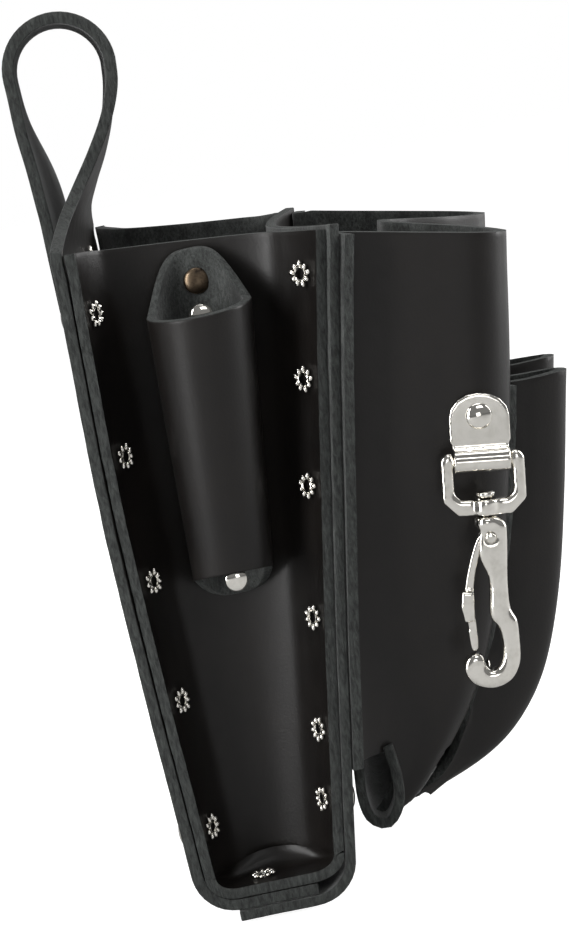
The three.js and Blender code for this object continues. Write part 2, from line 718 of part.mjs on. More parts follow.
// A rod between two points of the snap's frame.
function rod(from, to, radius, sides = 16) {
  const along = to.clone().sub(from);
  const geometry = new THREE.CylinderGeometry(radius, radius, along.length(), sides);
  return solidOf(standing(geometry, from.clone().add(to).divideScalar(2), along.normalize()));
}

// The leaf that is riveted to the pocket, with the barrel at its foot.
function snapPlate() {
  const dome = [
    [-BARREL_HALF, 0], [BARREL_HALF, 0], [BARREL_HALF, 5], [PLATE_HALF, 6], [PLATE_HALF, PLATE_TOP - 8],
  ];
  for (let turn = 1; turn < 8; turn += 1) {
    const angle = (Math.PI * turn) / 8;
    dome.push([PLATE_HALF * Math.cos(angle), PLATE_TOP - 8 + 8 * Math.sin(angle)]);
  }
  dome.push([-PLATE_HALF, PLATE_TOP - 8], [-PLATE_HALF, 6], [-BARREL_HALF, 5]);
  const leaf = plate(dome, PLATE_SHEET).translate([PLATE_STAND, 0, 0]);
  const barrel = rod(vec(0, -BARREL_HALF, 0), vec(0, BARREL_HALF, 0), BARREL_RADIUS);
  const bore = rod(vec(0, -EYE_HALF, 0), vec(0, EYE_HALF, 0), BARREL_BORE);
  return leaf.add(barrel).subtract(bore);
}

// The eye: a flat ring whose top bar turns in the barrel and whose boss holds the swivel.
function snapEye() {
  const ring = plate([
    [-EYE_HALF, EYE_TOP - 2], [-EYE_HALF + 2, EYE_TOP], [EYE_HALF - 2, EYE_TOP], [EYE_HALF, EYE_TOP - 2],
    [EYE_HALF, 5 - EYE_FOOT], [EYE_HALF - 5, -EYE_FOOT], [5 - EYE_HALF, -EYE_FOOT],
    [-EYE_HALF, 5 - EYE_FOOT],
  ].reverse(), EYE_SHEET);
  const window = plate([
    [-EYE_WINDOW_HALF, EYE_TOP + 1], [-EYE_WINDOW_HALF, 2 - EYE_WINDOW_FOOT],
    [2 - EYE_WINDOW_HALF, -EYE_WINDOW_FOOT], [EYE_WINDOW_HALF - 2, -EYE_WINDOW_FOOT],
    [EYE_WINDOW_HALF, 2 - EYE_WINDOW_FOOT], [EYE_WINDOW_HALF, EYE_TOP + 1],
  ], EYE_SHEET + 2);
  const bar = rod(vec(0, -EYE_WINDOW_HALF - 1, 0), vec(0, EYE_WINDOW_HALF + 1, 0), EYE_BAR);
  const boss = rod(vec(0, SWIVEL_Y, -EYE_FOOT), vec(0, SWIVEL_Y, -EYE_WINDOW_FOOT), BOSS_RADIUS);
  const hole = rod(vec(0, SWIVEL_Y, -EYE_FOOT - 1), vec(0, SWIVEL_Y, 1 - EYE_WINDOW_FOOT),
    NECK_RADIUS + GAP);
  return ring.subtract(window).add(bar).add(boss).subtract(hole);
}

// The hook with its neck, slotted near the top for the lever.
function snapBody() {
  const hook = plate([
    [2, -20], [3.4, -31], [0.2, -40], [0.6, -52], [-2.2, -56], [-3, -62], [-2.6, -67], [0, -70.4],
    [2.8, -69], [3.4, -65.5], [6, -64], [9.4, -66], [10.2, -70], [7.6, -74.4], [1, -76.5], [-5.4, -74],
    [-8.6, -68], [-8.8, -60], [-8.4, -53.4], [-6.4, -50], [-6, -40], [-6.6, -28], [-6, -20],
  ], SNAP_SHEET, true);
  const neck = rod(vec(0, SWIVEL_Y, -22.2), vec(0, SWIVEL_Y, 2.4 - EYE_WINDOW_FOOT), NECK_RADIUS);
  const head = rod(vec(0, SWIVEL_Y, 0.4 - EYE_WINDOW_FOOT), vec(0, SWIVEL_Y, 2.6 - EYE_WINDOW_FOOT), 3.6);
  const collar = rod(vec(0, SWIVEL_Y, -22.5), vec(0, SWIVEL_Y, -GAP - EYE_FOOT), BOSS_RADIUS);
  const slot = plate([[-3.4, -22.8], [-3.4, -39], [10, -39], [10, -22.8]], SLOT_WIDTH);
  return hook.add(collar).subtract(slot).add(neck).add(head).subtract(pin(PIN_RADIUS + 0.15));
}

// The lever's pin, which lies along the snap's x axis.
function pin(radius) {
  const [y, z] = LEVER_PIVOT;
  return rod(vec(-SNAP_SHEET / 2 - 0.6, y, z), vec(SNAP_SHEET / 2 + 0.6, y, z), radius, 12);
}

// The lever: an arm in the slot and a thumb pad across it.
function snapLever() {
  const arm = plate([
    [-2.2, -23.8], [0.6, -23.6], [3.4, -26], [6, -33], [8, -41], [8.8, -48], [8, -54], [7.4, -62.6],
    [5, -62.6], [5.2, -54], [5.6, -47], [5.2, -41], [3.6, -34], [1, -28], [-1.4, -27.4],
  ].reverse(), LEVER_SHEET, true);
  const pad = plate([[5.4, -43.5], [9.4, -43], [10, -48], [9, -53.5], [5.6, -53]].reverse(), SNAP_SHEET);
  return arm.add(pad).subtract(pin(PIN_RADIUS + 0.15));
}

function plateRivet() {
  const turn = new THREE.Matrix4().makeRotationX(SNAP_TILT);
  const wall = vec(PLATE_STAND + PLATE_SHEET / 2, 0, 14.3).applyMatrix4(turn);
  const point = wall.add(vec(SNAP.x, SNAP.y, SNAP.z));
  rivet('snap_plate_rivet', point, vec(-1, 0, 0), PLATE_SHEET + 0.1, -6.5,
    ['upper_pocket_leather', 'snap_plate']);
}

// ---------------------------------------------------------------- the whole pouch

gussetRivets(-1, 'left');
gussetRivets(1, 'right');
pocketRivets();
strapRivets();
sleeveRivets();
plateRivet();

const back = backPath();
const front = frontPath();
addPiece('back_panel_with_belt_loop', sheet(backSurface(back), BACK_LEATHER, even(12),
  stopsAlong(back, [1, 5, 5, 1, 8, 8, 5])));
addPiece('front_panel', sheet(frontSurface(front), LEATHER, even(14), stopsAlong(front, [1, 5, 4])));
addPiece('left_gusset', gusset(-1));
addPiece('right_gusset', gusset(1));
addPiece('upper_pocket_leather', upperLeather());
addPiece('lower_pocket_leather', sheet(pocketSurface(lowerOutline, lowerPlan, LOWER_MOUTH_DROP),
  LEATHER, even(32), even(9)));
addPiece('tool_sleeve', sleeve());
addPiece('snap_plate', snapPlaced(snapPlate()), NICKEL);
addPiece('snap_eye', snapPlaced(snapEye()), NICKEL);
addPiece('snap_body', snapPlaced(snapBody()), NICKEL);
addPiece('snap_lever', snapPlaced(snapLever()), NICKEL);
addPiece('snap_lever_pin', snapPlaced(pin(PIN_RADIUS)), NICKEL);

for (const [name, geometry, finish] of rivets) {
  addMesh(name, geometry, finish);
}

export default pouch;
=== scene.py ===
"""A riveted black leather tool pouch that hangs from a belt, with a swivel snap on its side.

Lengths in this file are millimetres until a mesh is written, which is in metres.
The belt runs along X, the wearer stands on the +Y side and +Z is up.
"""
from __future__ import annotations

import logging
import math
from dataclasses import dataclass
from enum import Enum
from typing import Callable, Sequence

import bpy
import numpy as np
from mathutils import Matrix, Vector, noise

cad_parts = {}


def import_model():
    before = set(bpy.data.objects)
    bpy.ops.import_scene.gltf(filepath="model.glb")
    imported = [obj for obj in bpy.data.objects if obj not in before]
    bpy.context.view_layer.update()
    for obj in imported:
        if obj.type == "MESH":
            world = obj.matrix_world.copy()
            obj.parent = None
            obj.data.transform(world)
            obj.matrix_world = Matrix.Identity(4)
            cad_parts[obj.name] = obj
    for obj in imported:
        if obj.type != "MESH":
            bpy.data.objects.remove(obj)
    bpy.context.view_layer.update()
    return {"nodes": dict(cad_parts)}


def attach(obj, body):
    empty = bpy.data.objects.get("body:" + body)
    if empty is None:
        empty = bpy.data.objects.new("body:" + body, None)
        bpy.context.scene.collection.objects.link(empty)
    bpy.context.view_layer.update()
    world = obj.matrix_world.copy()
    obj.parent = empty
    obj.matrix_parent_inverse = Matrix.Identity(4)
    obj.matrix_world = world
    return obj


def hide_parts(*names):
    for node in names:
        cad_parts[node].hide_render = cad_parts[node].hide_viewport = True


LOG = logging.getLogger("pouch")
MM = 0.001
CAMERA_TILT = math.radians(12)
CAMERA_LEAN = math.radians(8.4)

# Waves of the hand-cut edges and of the hide itself, and the height of the latter, in millimetres.
LONG_WAVE = 9
SHORT_WAVE = 3.5
RIPPLE_WAVE = 42
RIPPLE = 0.25

Surface = Callable[[np.ndarray, float], np.ndarray]


# ---------------------------------------------------------------- curves


def ease(value: float, low: float, high: float) -> float:
    """Smooth step from 0 at low to 1 at high."""
    share = min(max((value - low) / (high - low), 0.0), 1.0)
    return share * share * (3 - 2 * share)


def mix(low: float, high: float, share: float) -> float:
    """The value that lies a share of the way from low to high."""
    return low + (high - low) * share


class Route:
    """A polyline that is walked by length."""

    def __init__(self, points: np.ndarray) -> None:
        """Measures how far along the polyline each corner lies.

        Args:
            points: the corners of the polyline, one row each.
        """
        self.points = points
        steps = np.linalg.norm(np.diff(points, axis=0), axis=1)
        self.marks = np.concatenate([[0.0], np.cumsum(steps)])
        self.length = float(self.marks[-1])

    def walk(self, shares: np.ndarray) -> np.ndarray:
        """The points at these shares of the whole length."""
        at = np.asarray(shares) * self.length
        return np.stack([np.interp(at, self.marks, column) for column in self.points.T], axis=1)

    def cross(self, x: float, low: float, high: float) -> tuple[np.ndarray, np.ndarray]:
        """The point whose first coordinate is x between two shares, and the way out of it there.

        Args:
            x: the first coordinate that is looked for.
            low: the share of the length where the search starts.
            high: the share of the length where it ends.

        Returns:
            The point, and a unit vector square to the route that lies in the plan.
        """
        shares = np.linspace(low, high, 900)
        places = self.walk(shares)
        nearest = int(np.argmin(np.abs(places[:, 0] - x)))
        before, after = self.walk(np.array([shares[nearest] - 0.004, shares[nearest] + 0.004]))
        along = after - before
        out = np.array([along[1], -along[0], 0.0])
        return places[nearest], out / np.linalg.norm(out)


def smooth_route(points: Sequence[Sequence[float]], steps: int = 10) -> Route:
    """A centripetal Catmull-Rom curve through the points.

    Args:
        points: the points that the curve passes.
        steps: how many straight steps each span is drawn with.

    Returns:
        The curve as a route.
    """
    knots = np.array(points, dtype=float)
    knots = np.vstack([2 * knots[0] - knots[1], knots, 2 * knots[-1] - knots[-2]])
    spans = np.sqrt(np.linalg.norm(np.diff(knots, axis=0), axis=1))
    share = np.linspace(0, 1, steps, endpoint=False)[:, None]
    pieces = []
    for i in range(1, len(knots) - 2):
        p0, p1, p2, p3 = knots[i - 1:i + 3]
        d0, d1, d2 = spans[i - 1:i + 2]
        start = ((p1 - p0) / d0 - (p2 - p0) / (d0 + d1) + (p2 - p1) / d1) * d1
        end = ((p2 - p1) / d1 - (p3 - p1) / (d1 + d2) + (p3 - p2) / d2) * d1
        square, cube = share ** 2, share ** 3
        pieces.append(
            (2 * cube - 3 * square + 1) * p1 + (cube - 2 * square + share) * start
            + (3 * square - 2 * cube) * p2 + (cube - square) * end
        )
    pieces.append(knots[-2][None, :])
    return Route(np.vstack(pieces))


def arc(centre: Sequence[float], radius: float, start: float, end: float) -> list[list[float]]:
    """Points of an arc in a plane, from one angle in degrees to another."""
    turns = np.radians(np.linspace(start, end, 24))
    return [[centre[0] + radius * math.cos(t), centre[1] + radius * math.sin(t)] for t in turns]


# ---------------------------------------------------------------- finishes


def linear(colour: str) -> tuple[float, float, float, float]:
    """Turns an sRGB hex colour to linear light.

    Args:
        colour: the colour, such as "#12100f".

    Returns:
        Red, green, blue and alpha.
    """
    channels = [int(colour[i:i + 2], 16) / 255 for i in (1, 3, 5)]
    parts = [c / 12.92 if c <= 0.04045 else ((c + 0.055) / 1.055) ** 2.4 for c in channels]
    return (*parts, 1.0)


def add_node(tree: bpy.types.NodeTree, kind: str, settings: dict | None = None,
             **inputs: object) -> bpy.types.Node:
    """Adds a node with its settings, values and links.

    Args:
        tree: the node tree that gets the node.
        kind: the node's type name.
        settings: attributes that are set on the node.
        inputs: values or output sockets by input name, with spaces written as underscores.

    Returns:
        The new node.
    """
    node = tree.nodes.new(kind)
    for name, value in (settings or {}).items():
        setattr(node, name, value)
    for name, value in inputs.items():
        socket = node.inputs[name.replace("_", " ")]
        if isinstance(value, bpy.types.NodeSocket):
            tree.links.new(value, socket)
        else:
            socket.default_value = value
    return node


def ramp(tree: bpy.types.NodeTree, factor: bpy.types.NodeSocket, low: str, high: str,
         start: float = 0.0, end: float = 1.0) -> bpy.types.NodeSocket:
    """A colour that runs from one to another as a factor grows.

    Args:
        tree: the node tree that gets the ramp.
        factor: the socket that drives it.
        low: the hex colour up to start.
        high: the hex colour from end on.
        start: the factor where the change begins.
        end: the factor where it ends.

    Returns:
        The colour socket.
    """
    node = add_node(tree, "ShaderNodeValToRGB", Fac=factor)
    node.color_ramp.elements[0].position = start
    node.color_ramp.elements[0].color = linear(low)
    node.color_ramp.elements[1].position = end
    node.color_ramp.elements[1].color = linear(high)
    return node.outputs["Color"]


def new_material(name: str) -> tuple[bpy.types.Material, bpy.types.NodeTree, bpy.types.Node]:
    """Adds a material.

    Args:
        name: the material's name.

    Returns:
        The material, its node tree and its shader.
    """
    material = bpy.data.materials.new(name)
    material.use_nodes = True
    return material, material.node_tree, material.node_tree.nodes["Principled BSDF"]


def scaled(tree: bpy.types.NodeTree, stretch: Sequence[float] = (1, 1, 1)) -> bpy.types.NodeSocket:
    """Object coordinates, stretched so that a pattern can run along a direction."""
    place = add_node(tree, "ShaderNodeTexCoord").outputs["Object"]
    return add_node(tree, "ShaderNodeMapping", Vector=place, Scale=stretch).outputs["Vector"]


@dataclass(frozen=True)
class OiledGrainLeather:
    """Harness leather, oiled black and rolled smooth: a soft sheen, fine pores and faint scuffs.

    Pores of a cattle hide are about 0.2 mm wide. They are drawn coarser here, so that they show.

    Args:
        dark: the colour of the well oiled patches.
        light: the colour of the drier patches.
        pore_size: the spacing of the pores in millimetres.
        crease_size: the size of the fine creases in millimetres.
        cloud_size: the size of a patch in millimetres.
        sleek: the roughness where the leather is smoothest.
        dull: the roughness in the creases.
        ior: the refraction of the waxed surface.
    """

    dark: str = "#12100f"
    light: str = "#181513"
    pore_size: float = 0.9
    crease_size: float = 5.5
    cloud_size: float = 28.0
    sleek: float = 0.36
    dull: float = 0.44
    ior: float = 1.42

    def make(self) -> bpy.types.Material:
        """Builds the material.

        Returns:
            The material.
        """
        material, tree, shader = new_material("oiled_black_grain_leather")
        place = scaled(tree)
        cloud = add_node(tree, "ShaderNodeTexNoise", Vector=place, Scale=1000 / self.cloud_size,
                         Detail=4.0, Roughness=0.55)
        pores = add_node(tree, "ShaderNodeTexVoronoi", Vector=place, Scale=1000 / self.pore_size)
        creases = add_node(tree, "ShaderNodeTexNoise", Vector=place, Scale=1000 / self.crease_size,
                           Detail=5.0, Roughness=0.62)
        colour = ramp(tree, cloud.outputs["Fac"], self.dark, self.light, 0.35, 0.7)
        tree.links.new(colour, shader.inputs["Base Color"])
        shine = add_node(tree, "ShaderNodeMapRange", Value=creases.outputs["Fac"], From_Min=0.3,
                         From_Max=0.7, To_Min=self.sleek, To_Max=self.dull)
        tree.links.new(shine.outputs["Result"], shader.inputs["Roughness"])
        fine = add_node(tree, "ShaderNodeBump", Strength=0.22, Distance=0.0001,
                        Height=pores.outputs["Distance"])
        broad = add_node(tree, "ShaderNodeBump", Strength=0.12, Distance=0.0003,
                         Height=creases.outputs["Fac"], Normal=fine.outputs["Normal"])
        tree.links.new(broad.outputs["Normal"], shader.inputs["Normal"])
        shader.inputs["IOR"].default_value = self.ior
        return material


@dataclass(frozen=True)
class SplitFlesh:
    """The flesh side of the same hide, dyed through and left fibrous: matt grey with short nap.

    The real fibres are far finer. They are drawn as tufts here, so that they show.

    Args:
        dark: the colour between the tufts.
        light: the colour of their tips.
        fibre_size: the size of a tuft in millimetres.
        patch_size: the size of a rubbed patch in millimetres.
        roughness: how matt it is.
    """

    dark: str = "#1d1f1e"
    light: str = "#4d504e"
    fibre_size: float = 0.8
    patch_size: float = 9.0
    roughness: float = 0.92

    def make(self) -> bpy.types.Material:
        """Builds the material.

        Returns:
            The material.
        """
        material, tree, shader = new_material("dyed_flesh_side")
        place = scaled(tree, (1.0, 1.0, 0.6))
        nap = add_node(tree, "ShaderNodeTexNoise", Vector=place, Scale=1000 / self.fibre_size,
                       Detail=3.0, Roughness=0.7, Distortion=0.6)
        patch = add_node(tree, "ShaderNodeTexNoise", Vector=place, Scale=1000 / self.patch_size,
                         Detail=4.0, Roughness=0.6)
        both = add_node(tree, "ShaderNodeMath", {"operation": "MULTIPLY"})
        tree.links.new(nap.outputs["Fac"], both.inputs[0])
        tree.links.new(patch.outputs["Fac"], both.inputs[1])
        colour = ramp(tree, both.outputs["Value"], self.dark, self.light, 0.16, 0.38)
        tree.links.new(colour, shader.inputs["Base Color"])
        bump = add_node(tree, "ShaderNodeBump", Strength=0.7, Distance=0.0005,
                        Height=both.outputs["Value"])
        tree.links.new(bump.outputs["Normal"], shader.inputs["Normal"])
        shader.inputs["Roughness"].default_value = self.roughness
        shader.inputs["Sheen Weight"].default_value = 0.25
        shader.inputs["Sheen Roughness"].default_value = 0.5
        return material


@dataclass(frozen=True)
class CutEdge:
    """A knife-cut edge left raw: grey-black layers of fibre that run along the cut.

    Args:
        dark: the colour between the layers.
        light: the colour of the frayed fibre.
        layer_size: the size of a layer in millimetres.
        roughness: how matt it is.
    """

    dark: str = "#1a1c1b"
    light: str = "#434644"
    layer_size: float = 1.1
    roughness: float = 0.85

    def make(self) -> bpy.types.Material:
        """Builds the material.

        Returns:
            The material.
        """
        material, tree, shader = new_material("raw_cut_edge")
        place = scaled(tree, (1.0, 1.0, 0.3))
        layers = add_node(tree, "ShaderNodeTexNoise", Vector=place, Scale=1000 / self.layer_size,
                          Detail=5.0, Roughness=0.7, Distortion=0.4)
        colour = ramp(tree, layers.outputs["Fac"], self.dark, self.light, 0.36, 0.68)
        tree.links.new(colour, shader.inputs["Base Color"])
        bump = add_node(tree, "ShaderNodeBump", Strength=0.8, Distance=0.0006,
                        Height=layers.outputs["Fac"])
        tree.links.new(bump.outputs["Normal"], shader.inputs["Normal"])
        shader.inputs["Roughness"].default_value = self.roughness
        return material


@dataclass(frozen=True)
class PlatedMetal:
    """Plated metal, polished or left to tarnish: hard reflections over faint handling marks.

    Args:
        name: the material's name.
        bright: the colour of the clean metal.
        dull: the colour in its marks.
        roughness: how blurred its reflections are.
        mark_size: the size of a mark in millimetres.
    """

    name: str
    bright: str
    dull: str
    roughness: float
    mark_size: float = 3.0

    def make(self) -> bpy.types.Material:
        """Builds the material.

        Returns:
            The material.
        """
        material, tree, shader = new_material(self.name)
        marks = add_node(tree, "ShaderNodeTexNoise", Vector=scaled(tree),
                         Scale=1000 / self.mark_size, Detail=4.0, Roughness=0.6)
        colour = ramp(tree, marks.outputs["Fac"], self.dull, self.bright, 0.28, 0.55)
        tree.links.new(colour, shader.inputs["Base Color"])
        blur = add_node(tree, "ShaderNodeMapRange", Value=marks.outputs["Fac"], From_Min=0.3,
                        From_Max=0.7, To_Min=self.roughness * 1.5, To_Max=self.roughness)
        tree.links.new(blur.outputs["Result"], shader.inputs["Roughness"])
        shader.inputs["Metallic"].default_value = 1.0
        return material


class Finish(Enum):
    """The finishes of the pouch."""

    GRAIN = OiledGrainLeather()
    FLESH = SplitFlesh()
    EDGE = CutEdge()
    NICKEL = PlatedMetal("bright_nickel_plate", "#f2efe8", "#e2dfd7", 0.06)
    ANTIQUE = PlatedMetal("antique_nickel", "#6a5c4c", "#2c2621", 0.3)


class Wardrobe:
    """Makes each finish once and hands out its material."""

    def __init__(self) -> None:
        """Starts with no material made."""
        self.made: dict[Finish, bpy.types.Material] = {}

    def get(self, finish: Finish) -> bpy.types.Material:
        """The material of a finish, made when it is first asked for.

        Args:
            finish: the finish.

        Returns:
            Its material.
        """
        if finish not in self.made:
            self.made[finish] = finish.value.make()
        return self.made[finish]


# ---------------------------------------------------------------- making pieces


def only(piece: bpy.types.Object) -> None:
    """Selects this piece and nothing else.

    Args:
        piece: the piece.
    """
    bpy.ops.object.select_all(action="DESELECT")
    piece.select_set(True)
    bpy.context.view_layer.objects.active = piece


def apply_modifier(piece: bpy.types.Object, kind: str, **settings: object) -> None:
    """Adds a modifier to a piece and applies it.

    Args:
        piece: the piece.
        kind: the modifier's type name.
        settings: attributes that are set on the modifier.
    """
    only(piece)
    modifier = piece.modifiers.new(kind.lower(), kind)
    for name, value in settings.items():
        setattr(modifier, name, value)
    bpy.ops.object.modifier_apply(modifier=modifier.name)


def smooth(piece: bpy.types.Object, degrees: float = 40) -> None:
    """Shades a piece smooth except where it bends by more than an angle."""
    only(piece)
    bpy.ops.object.shade_smooth_by_angle(angle=math.radians(degrees))


def join(pieces: Sequence[bpy.types.Object], name: str) -> bpy.types.Object:
    """Joins pieces into the first of them and names it.

    Args:
        pieces: the pieces.
        name: the joined piece's name.

    Returns:
        The joined piece.
    """
    only(pieces[0])
    for piece in pieces:
        piece.select_set(True)
    bpy.ops.object.join()
    joined = bpy.context.view_layer.objects.active
    joined.name = name
    return joined


@dataclass
class LeatherPiece:
    """A piece cut from one hide and bent to a surface.

    Args:
        name: the piece's name.
        surface: gives the middle of the leather for shares across at one share down, in millimetres.
        across: how many cells it has across.
        down: how many cells it has down.
        thickness: the leather's thickness in millimetres.
        turned: whether the grain is on the other side.
        closed: whether its two side edges meet and are one.
        wander: how far its raw side edges wander in millimetres.
        evened: how often each row is evened out against the rows above and below it.
    """

    name: str
    surface: Surface
    across: int
    down: int
    thickness: float = 3.5
    turned: bool = False
    closed: bool = False
    wander: float = 0.45
    evened: int = 0

    def build(self, wardrobe: Wardrobe) -> bpy.types.Object:
        """Bends a grid to the surface, gives it thickness and rounds its cut edges.

        Args:
            wardrobe: hands out the finishes.

        Returns:
            The finished piece.
        """
        bpy.ops.object.select_all(action="DESELECT")
        bpy.ops.mesh.primitive_grid_add(x_subdivisions=self.across, y_subdivisions=self.down, size=1)
        piece = bpy.context.view_layer.objects.active
        piece.name = self.name
        for finish in (Finish.FLESH, Finish.GRAIN, Finish.EDGE):
            piece.data.materials.append(wardrobe.get(finish))
        self.bend(piece)
        apply_modifier(piece, "SOLIDIFY", thickness=self.thickness * MM, offset=0.0,
                       material_offset=1, material_offset_rim=2, use_quality_normals=True)
        apply_modifier(piece, "BEVEL", width=0.45 * MM, segments=2, limit_method="ANGLE",
                       angle_limit=math.radians(50))
        smooth(piece, 50)
        return piece

    def bend(self, piece: bpy.types.Object) -> None:
        """Moves the grid's points onto the surface, with small ripples.

        Args:
            piece: the flat grid.
        """
        count = len(piece.data.vertices)
        flat = np.empty(count * 3)
        piece.data.vertices.foreach_get("co", flat)
        flat = flat.reshape(-1, 3) + 0.5
        across = np.round(flat[:, 0] * self.across).astype(int)
        down = np.round(flat[:, 1] * self.down).astype(int)
        shares = np.linspace(0, 1, self.across + 1)
        if self.turned:
            shares = shares[::-1]
        rows = np.stack([self.surface(shares, j / self.down) for j in range(self.down + 1)])
        for _ in range(self.evened):
            rows[1:-1] = (rows[:-2] + 2 * rows[1:-1] + rows[2:]) / 4
        self.wander_edges(rows)
        placed = rows[down, across] * MM
        piece.data.vertices.foreach_set("co", placed.ravel())
        piece.data.update()
        if self.closed:
            only(piece)
            bpy.ops.object.mode_set(mode="EDIT")
            bpy.ops.mesh.select_all(action="SELECT")
            bpy.ops.mesh.remove_doubles(threshold=0.00001)
            bpy.ops.object.mode_set(mode="OBJECT")

    def wander_edges(self, rows: np.ndarray) -> None:
        """Lets the raw edges wander in the plane of the leather and adds its slow ripples.

        Args:
            rows: the surface's points in millimetres, row by row, which are moved in place.
        """
        for edge, inner in ((0, 1), (-1, -2)):
            out = rows[:, edge] - rows[:, inner]
            out /= np.maximum(np.linalg.norm(out, axis=1, keepdims=True), 1e-6)
            for j, point in enumerate(rows[:, edge]):
                shift = noise.noise(Vector(point) / LONG_WAVE)
                shift += 0.5 * noise.noise(Vector(point) / SHORT_WAVE)
                rows[j, edge] += out[j] * shift * self.wander
        for row in rows:
            for point in row:
                ripple = Vector(point) / RIPPLE_WAVE
                point[1] += RIPPLE * noise.noise(ripple)
                point[0] += RIPPLE * noise.noise(ripple + Vector((9, 4, 7)))


# ---------------------------------------------------------------- the pattern of the pouch


@dataclass(frozen=True)
class Pattern:
    """The sizes that the leather pieces share, in millimetres."""

    leather: float = 3.5
    back_leather: float = 4.0
    gap: float = 0.4
    half_top: float = 75.0
    half_bottom: float = 68.0
    body_top: float = -72.0
    body_bottom: float = -300.0
    back_y: float = 11.0
    back_floor: float = -299.7
    front_top: float = -82.0
    front_top_y: float = -79.0
    front_lean: float = math.tan(math.radians(10.3))
    bow_left: float = 21.5
    bow_right: float = 7.0

    @property
    def front_floor(self) -> float:
        """The height of the front panel's floor, under the back panel's."""
        return self.back_floor - self.back_leather / 2 - self.gap - self.leather / 2

    def half_width(self, z: float) -> float:
        """Half the width of the body at a height."""
        down = min(max((self.body_top - z) / (self.body_top - self.body_bottom), 0), 1)
        return mix(self.half_top, self.half_bottom, down)

    def back_flare(self, x: float, z: float) -> float:
        """How far the back panel's side edges curl towards the wearer.

        Args:
            x: the place across the pouch.
            z: the height.

        Returns:
            The curl in millimetres.
        """
        down = min(max((self.body_top - 8 - z) / 210, 0), 1)
        edge = min(max((abs(x) - 50) / 25, 0), 1)
        return 4 * math.sin(math.pi * down) * edge * edge

    def back_middle(self, x: float, z: float) -> float:
        """The middle of the back panel."""
        return self.back_y + self.back_flare(x, z)

    def front_bow(self, x: float, z: float) -> float:
        """How far the front panel bows towards the wearer, which is less on the right.

        Args:
            x: the place across the pouch.
            z: the height.

        Returns:
            The bow in millimetres.
        """
        across = 1 - (x / self.half_top) ** 2
        down = (z - self.body_bottom + 12) / (self.front_top - self.body_bottom + 12)
        full = self.bow_left * across
        if x > 0:
            full = self.bow_right * across + self.bow_left - self.bow_right
        return full * min(max(down, 0), 1)

    def front_middle(self, x: float, z: float) -> float:
        """The middle of the front panel."""
        return self.front_top_y + (self.front_top - z) * self.front_lean + self.front_bow(x, z)

    def layer(self, middle: Callable[[float, float], float], distance: float, x: float,
              z: float) -> float:
        """The middle of a layer that lies on a panel.

        Args:
            middle: gives the panel's middle at a place and a height.
            distance: how far off the layer lies, measured square to the panel.
            x: the place across the pouch.
            z: the height.

        Returns:
            The layer's y.
        """
        across = middle(x + 0.5, z) - middle(x - 0.5, z)
        down = middle(x, z + 0.5) - middle(x, z - 0.5)
        return middle(x, z) + distance * math.sqrt(1 + across ** 2 + down ** 2)

    def back_layer(self, x: float, z: float) -> float:
        """The gusset's flange on the back panel."""
        return self.layer(self.back_middle, -(self.back_leather + self.leather) / 2 - self.gap, x, z)

    def front_inside(self, x: float, z: float) -> float:
        """The gusset's flange on the front panel."""
        return self.layer(self.front_middle, self.leather + self.gap, x, z)

    def front_outside(self, x: float, z: float) -> float:
        """The upper pocket's flange on the front panel."""
        return self.layer(self.front_middle, -(self.leather + self.gap), x, z)


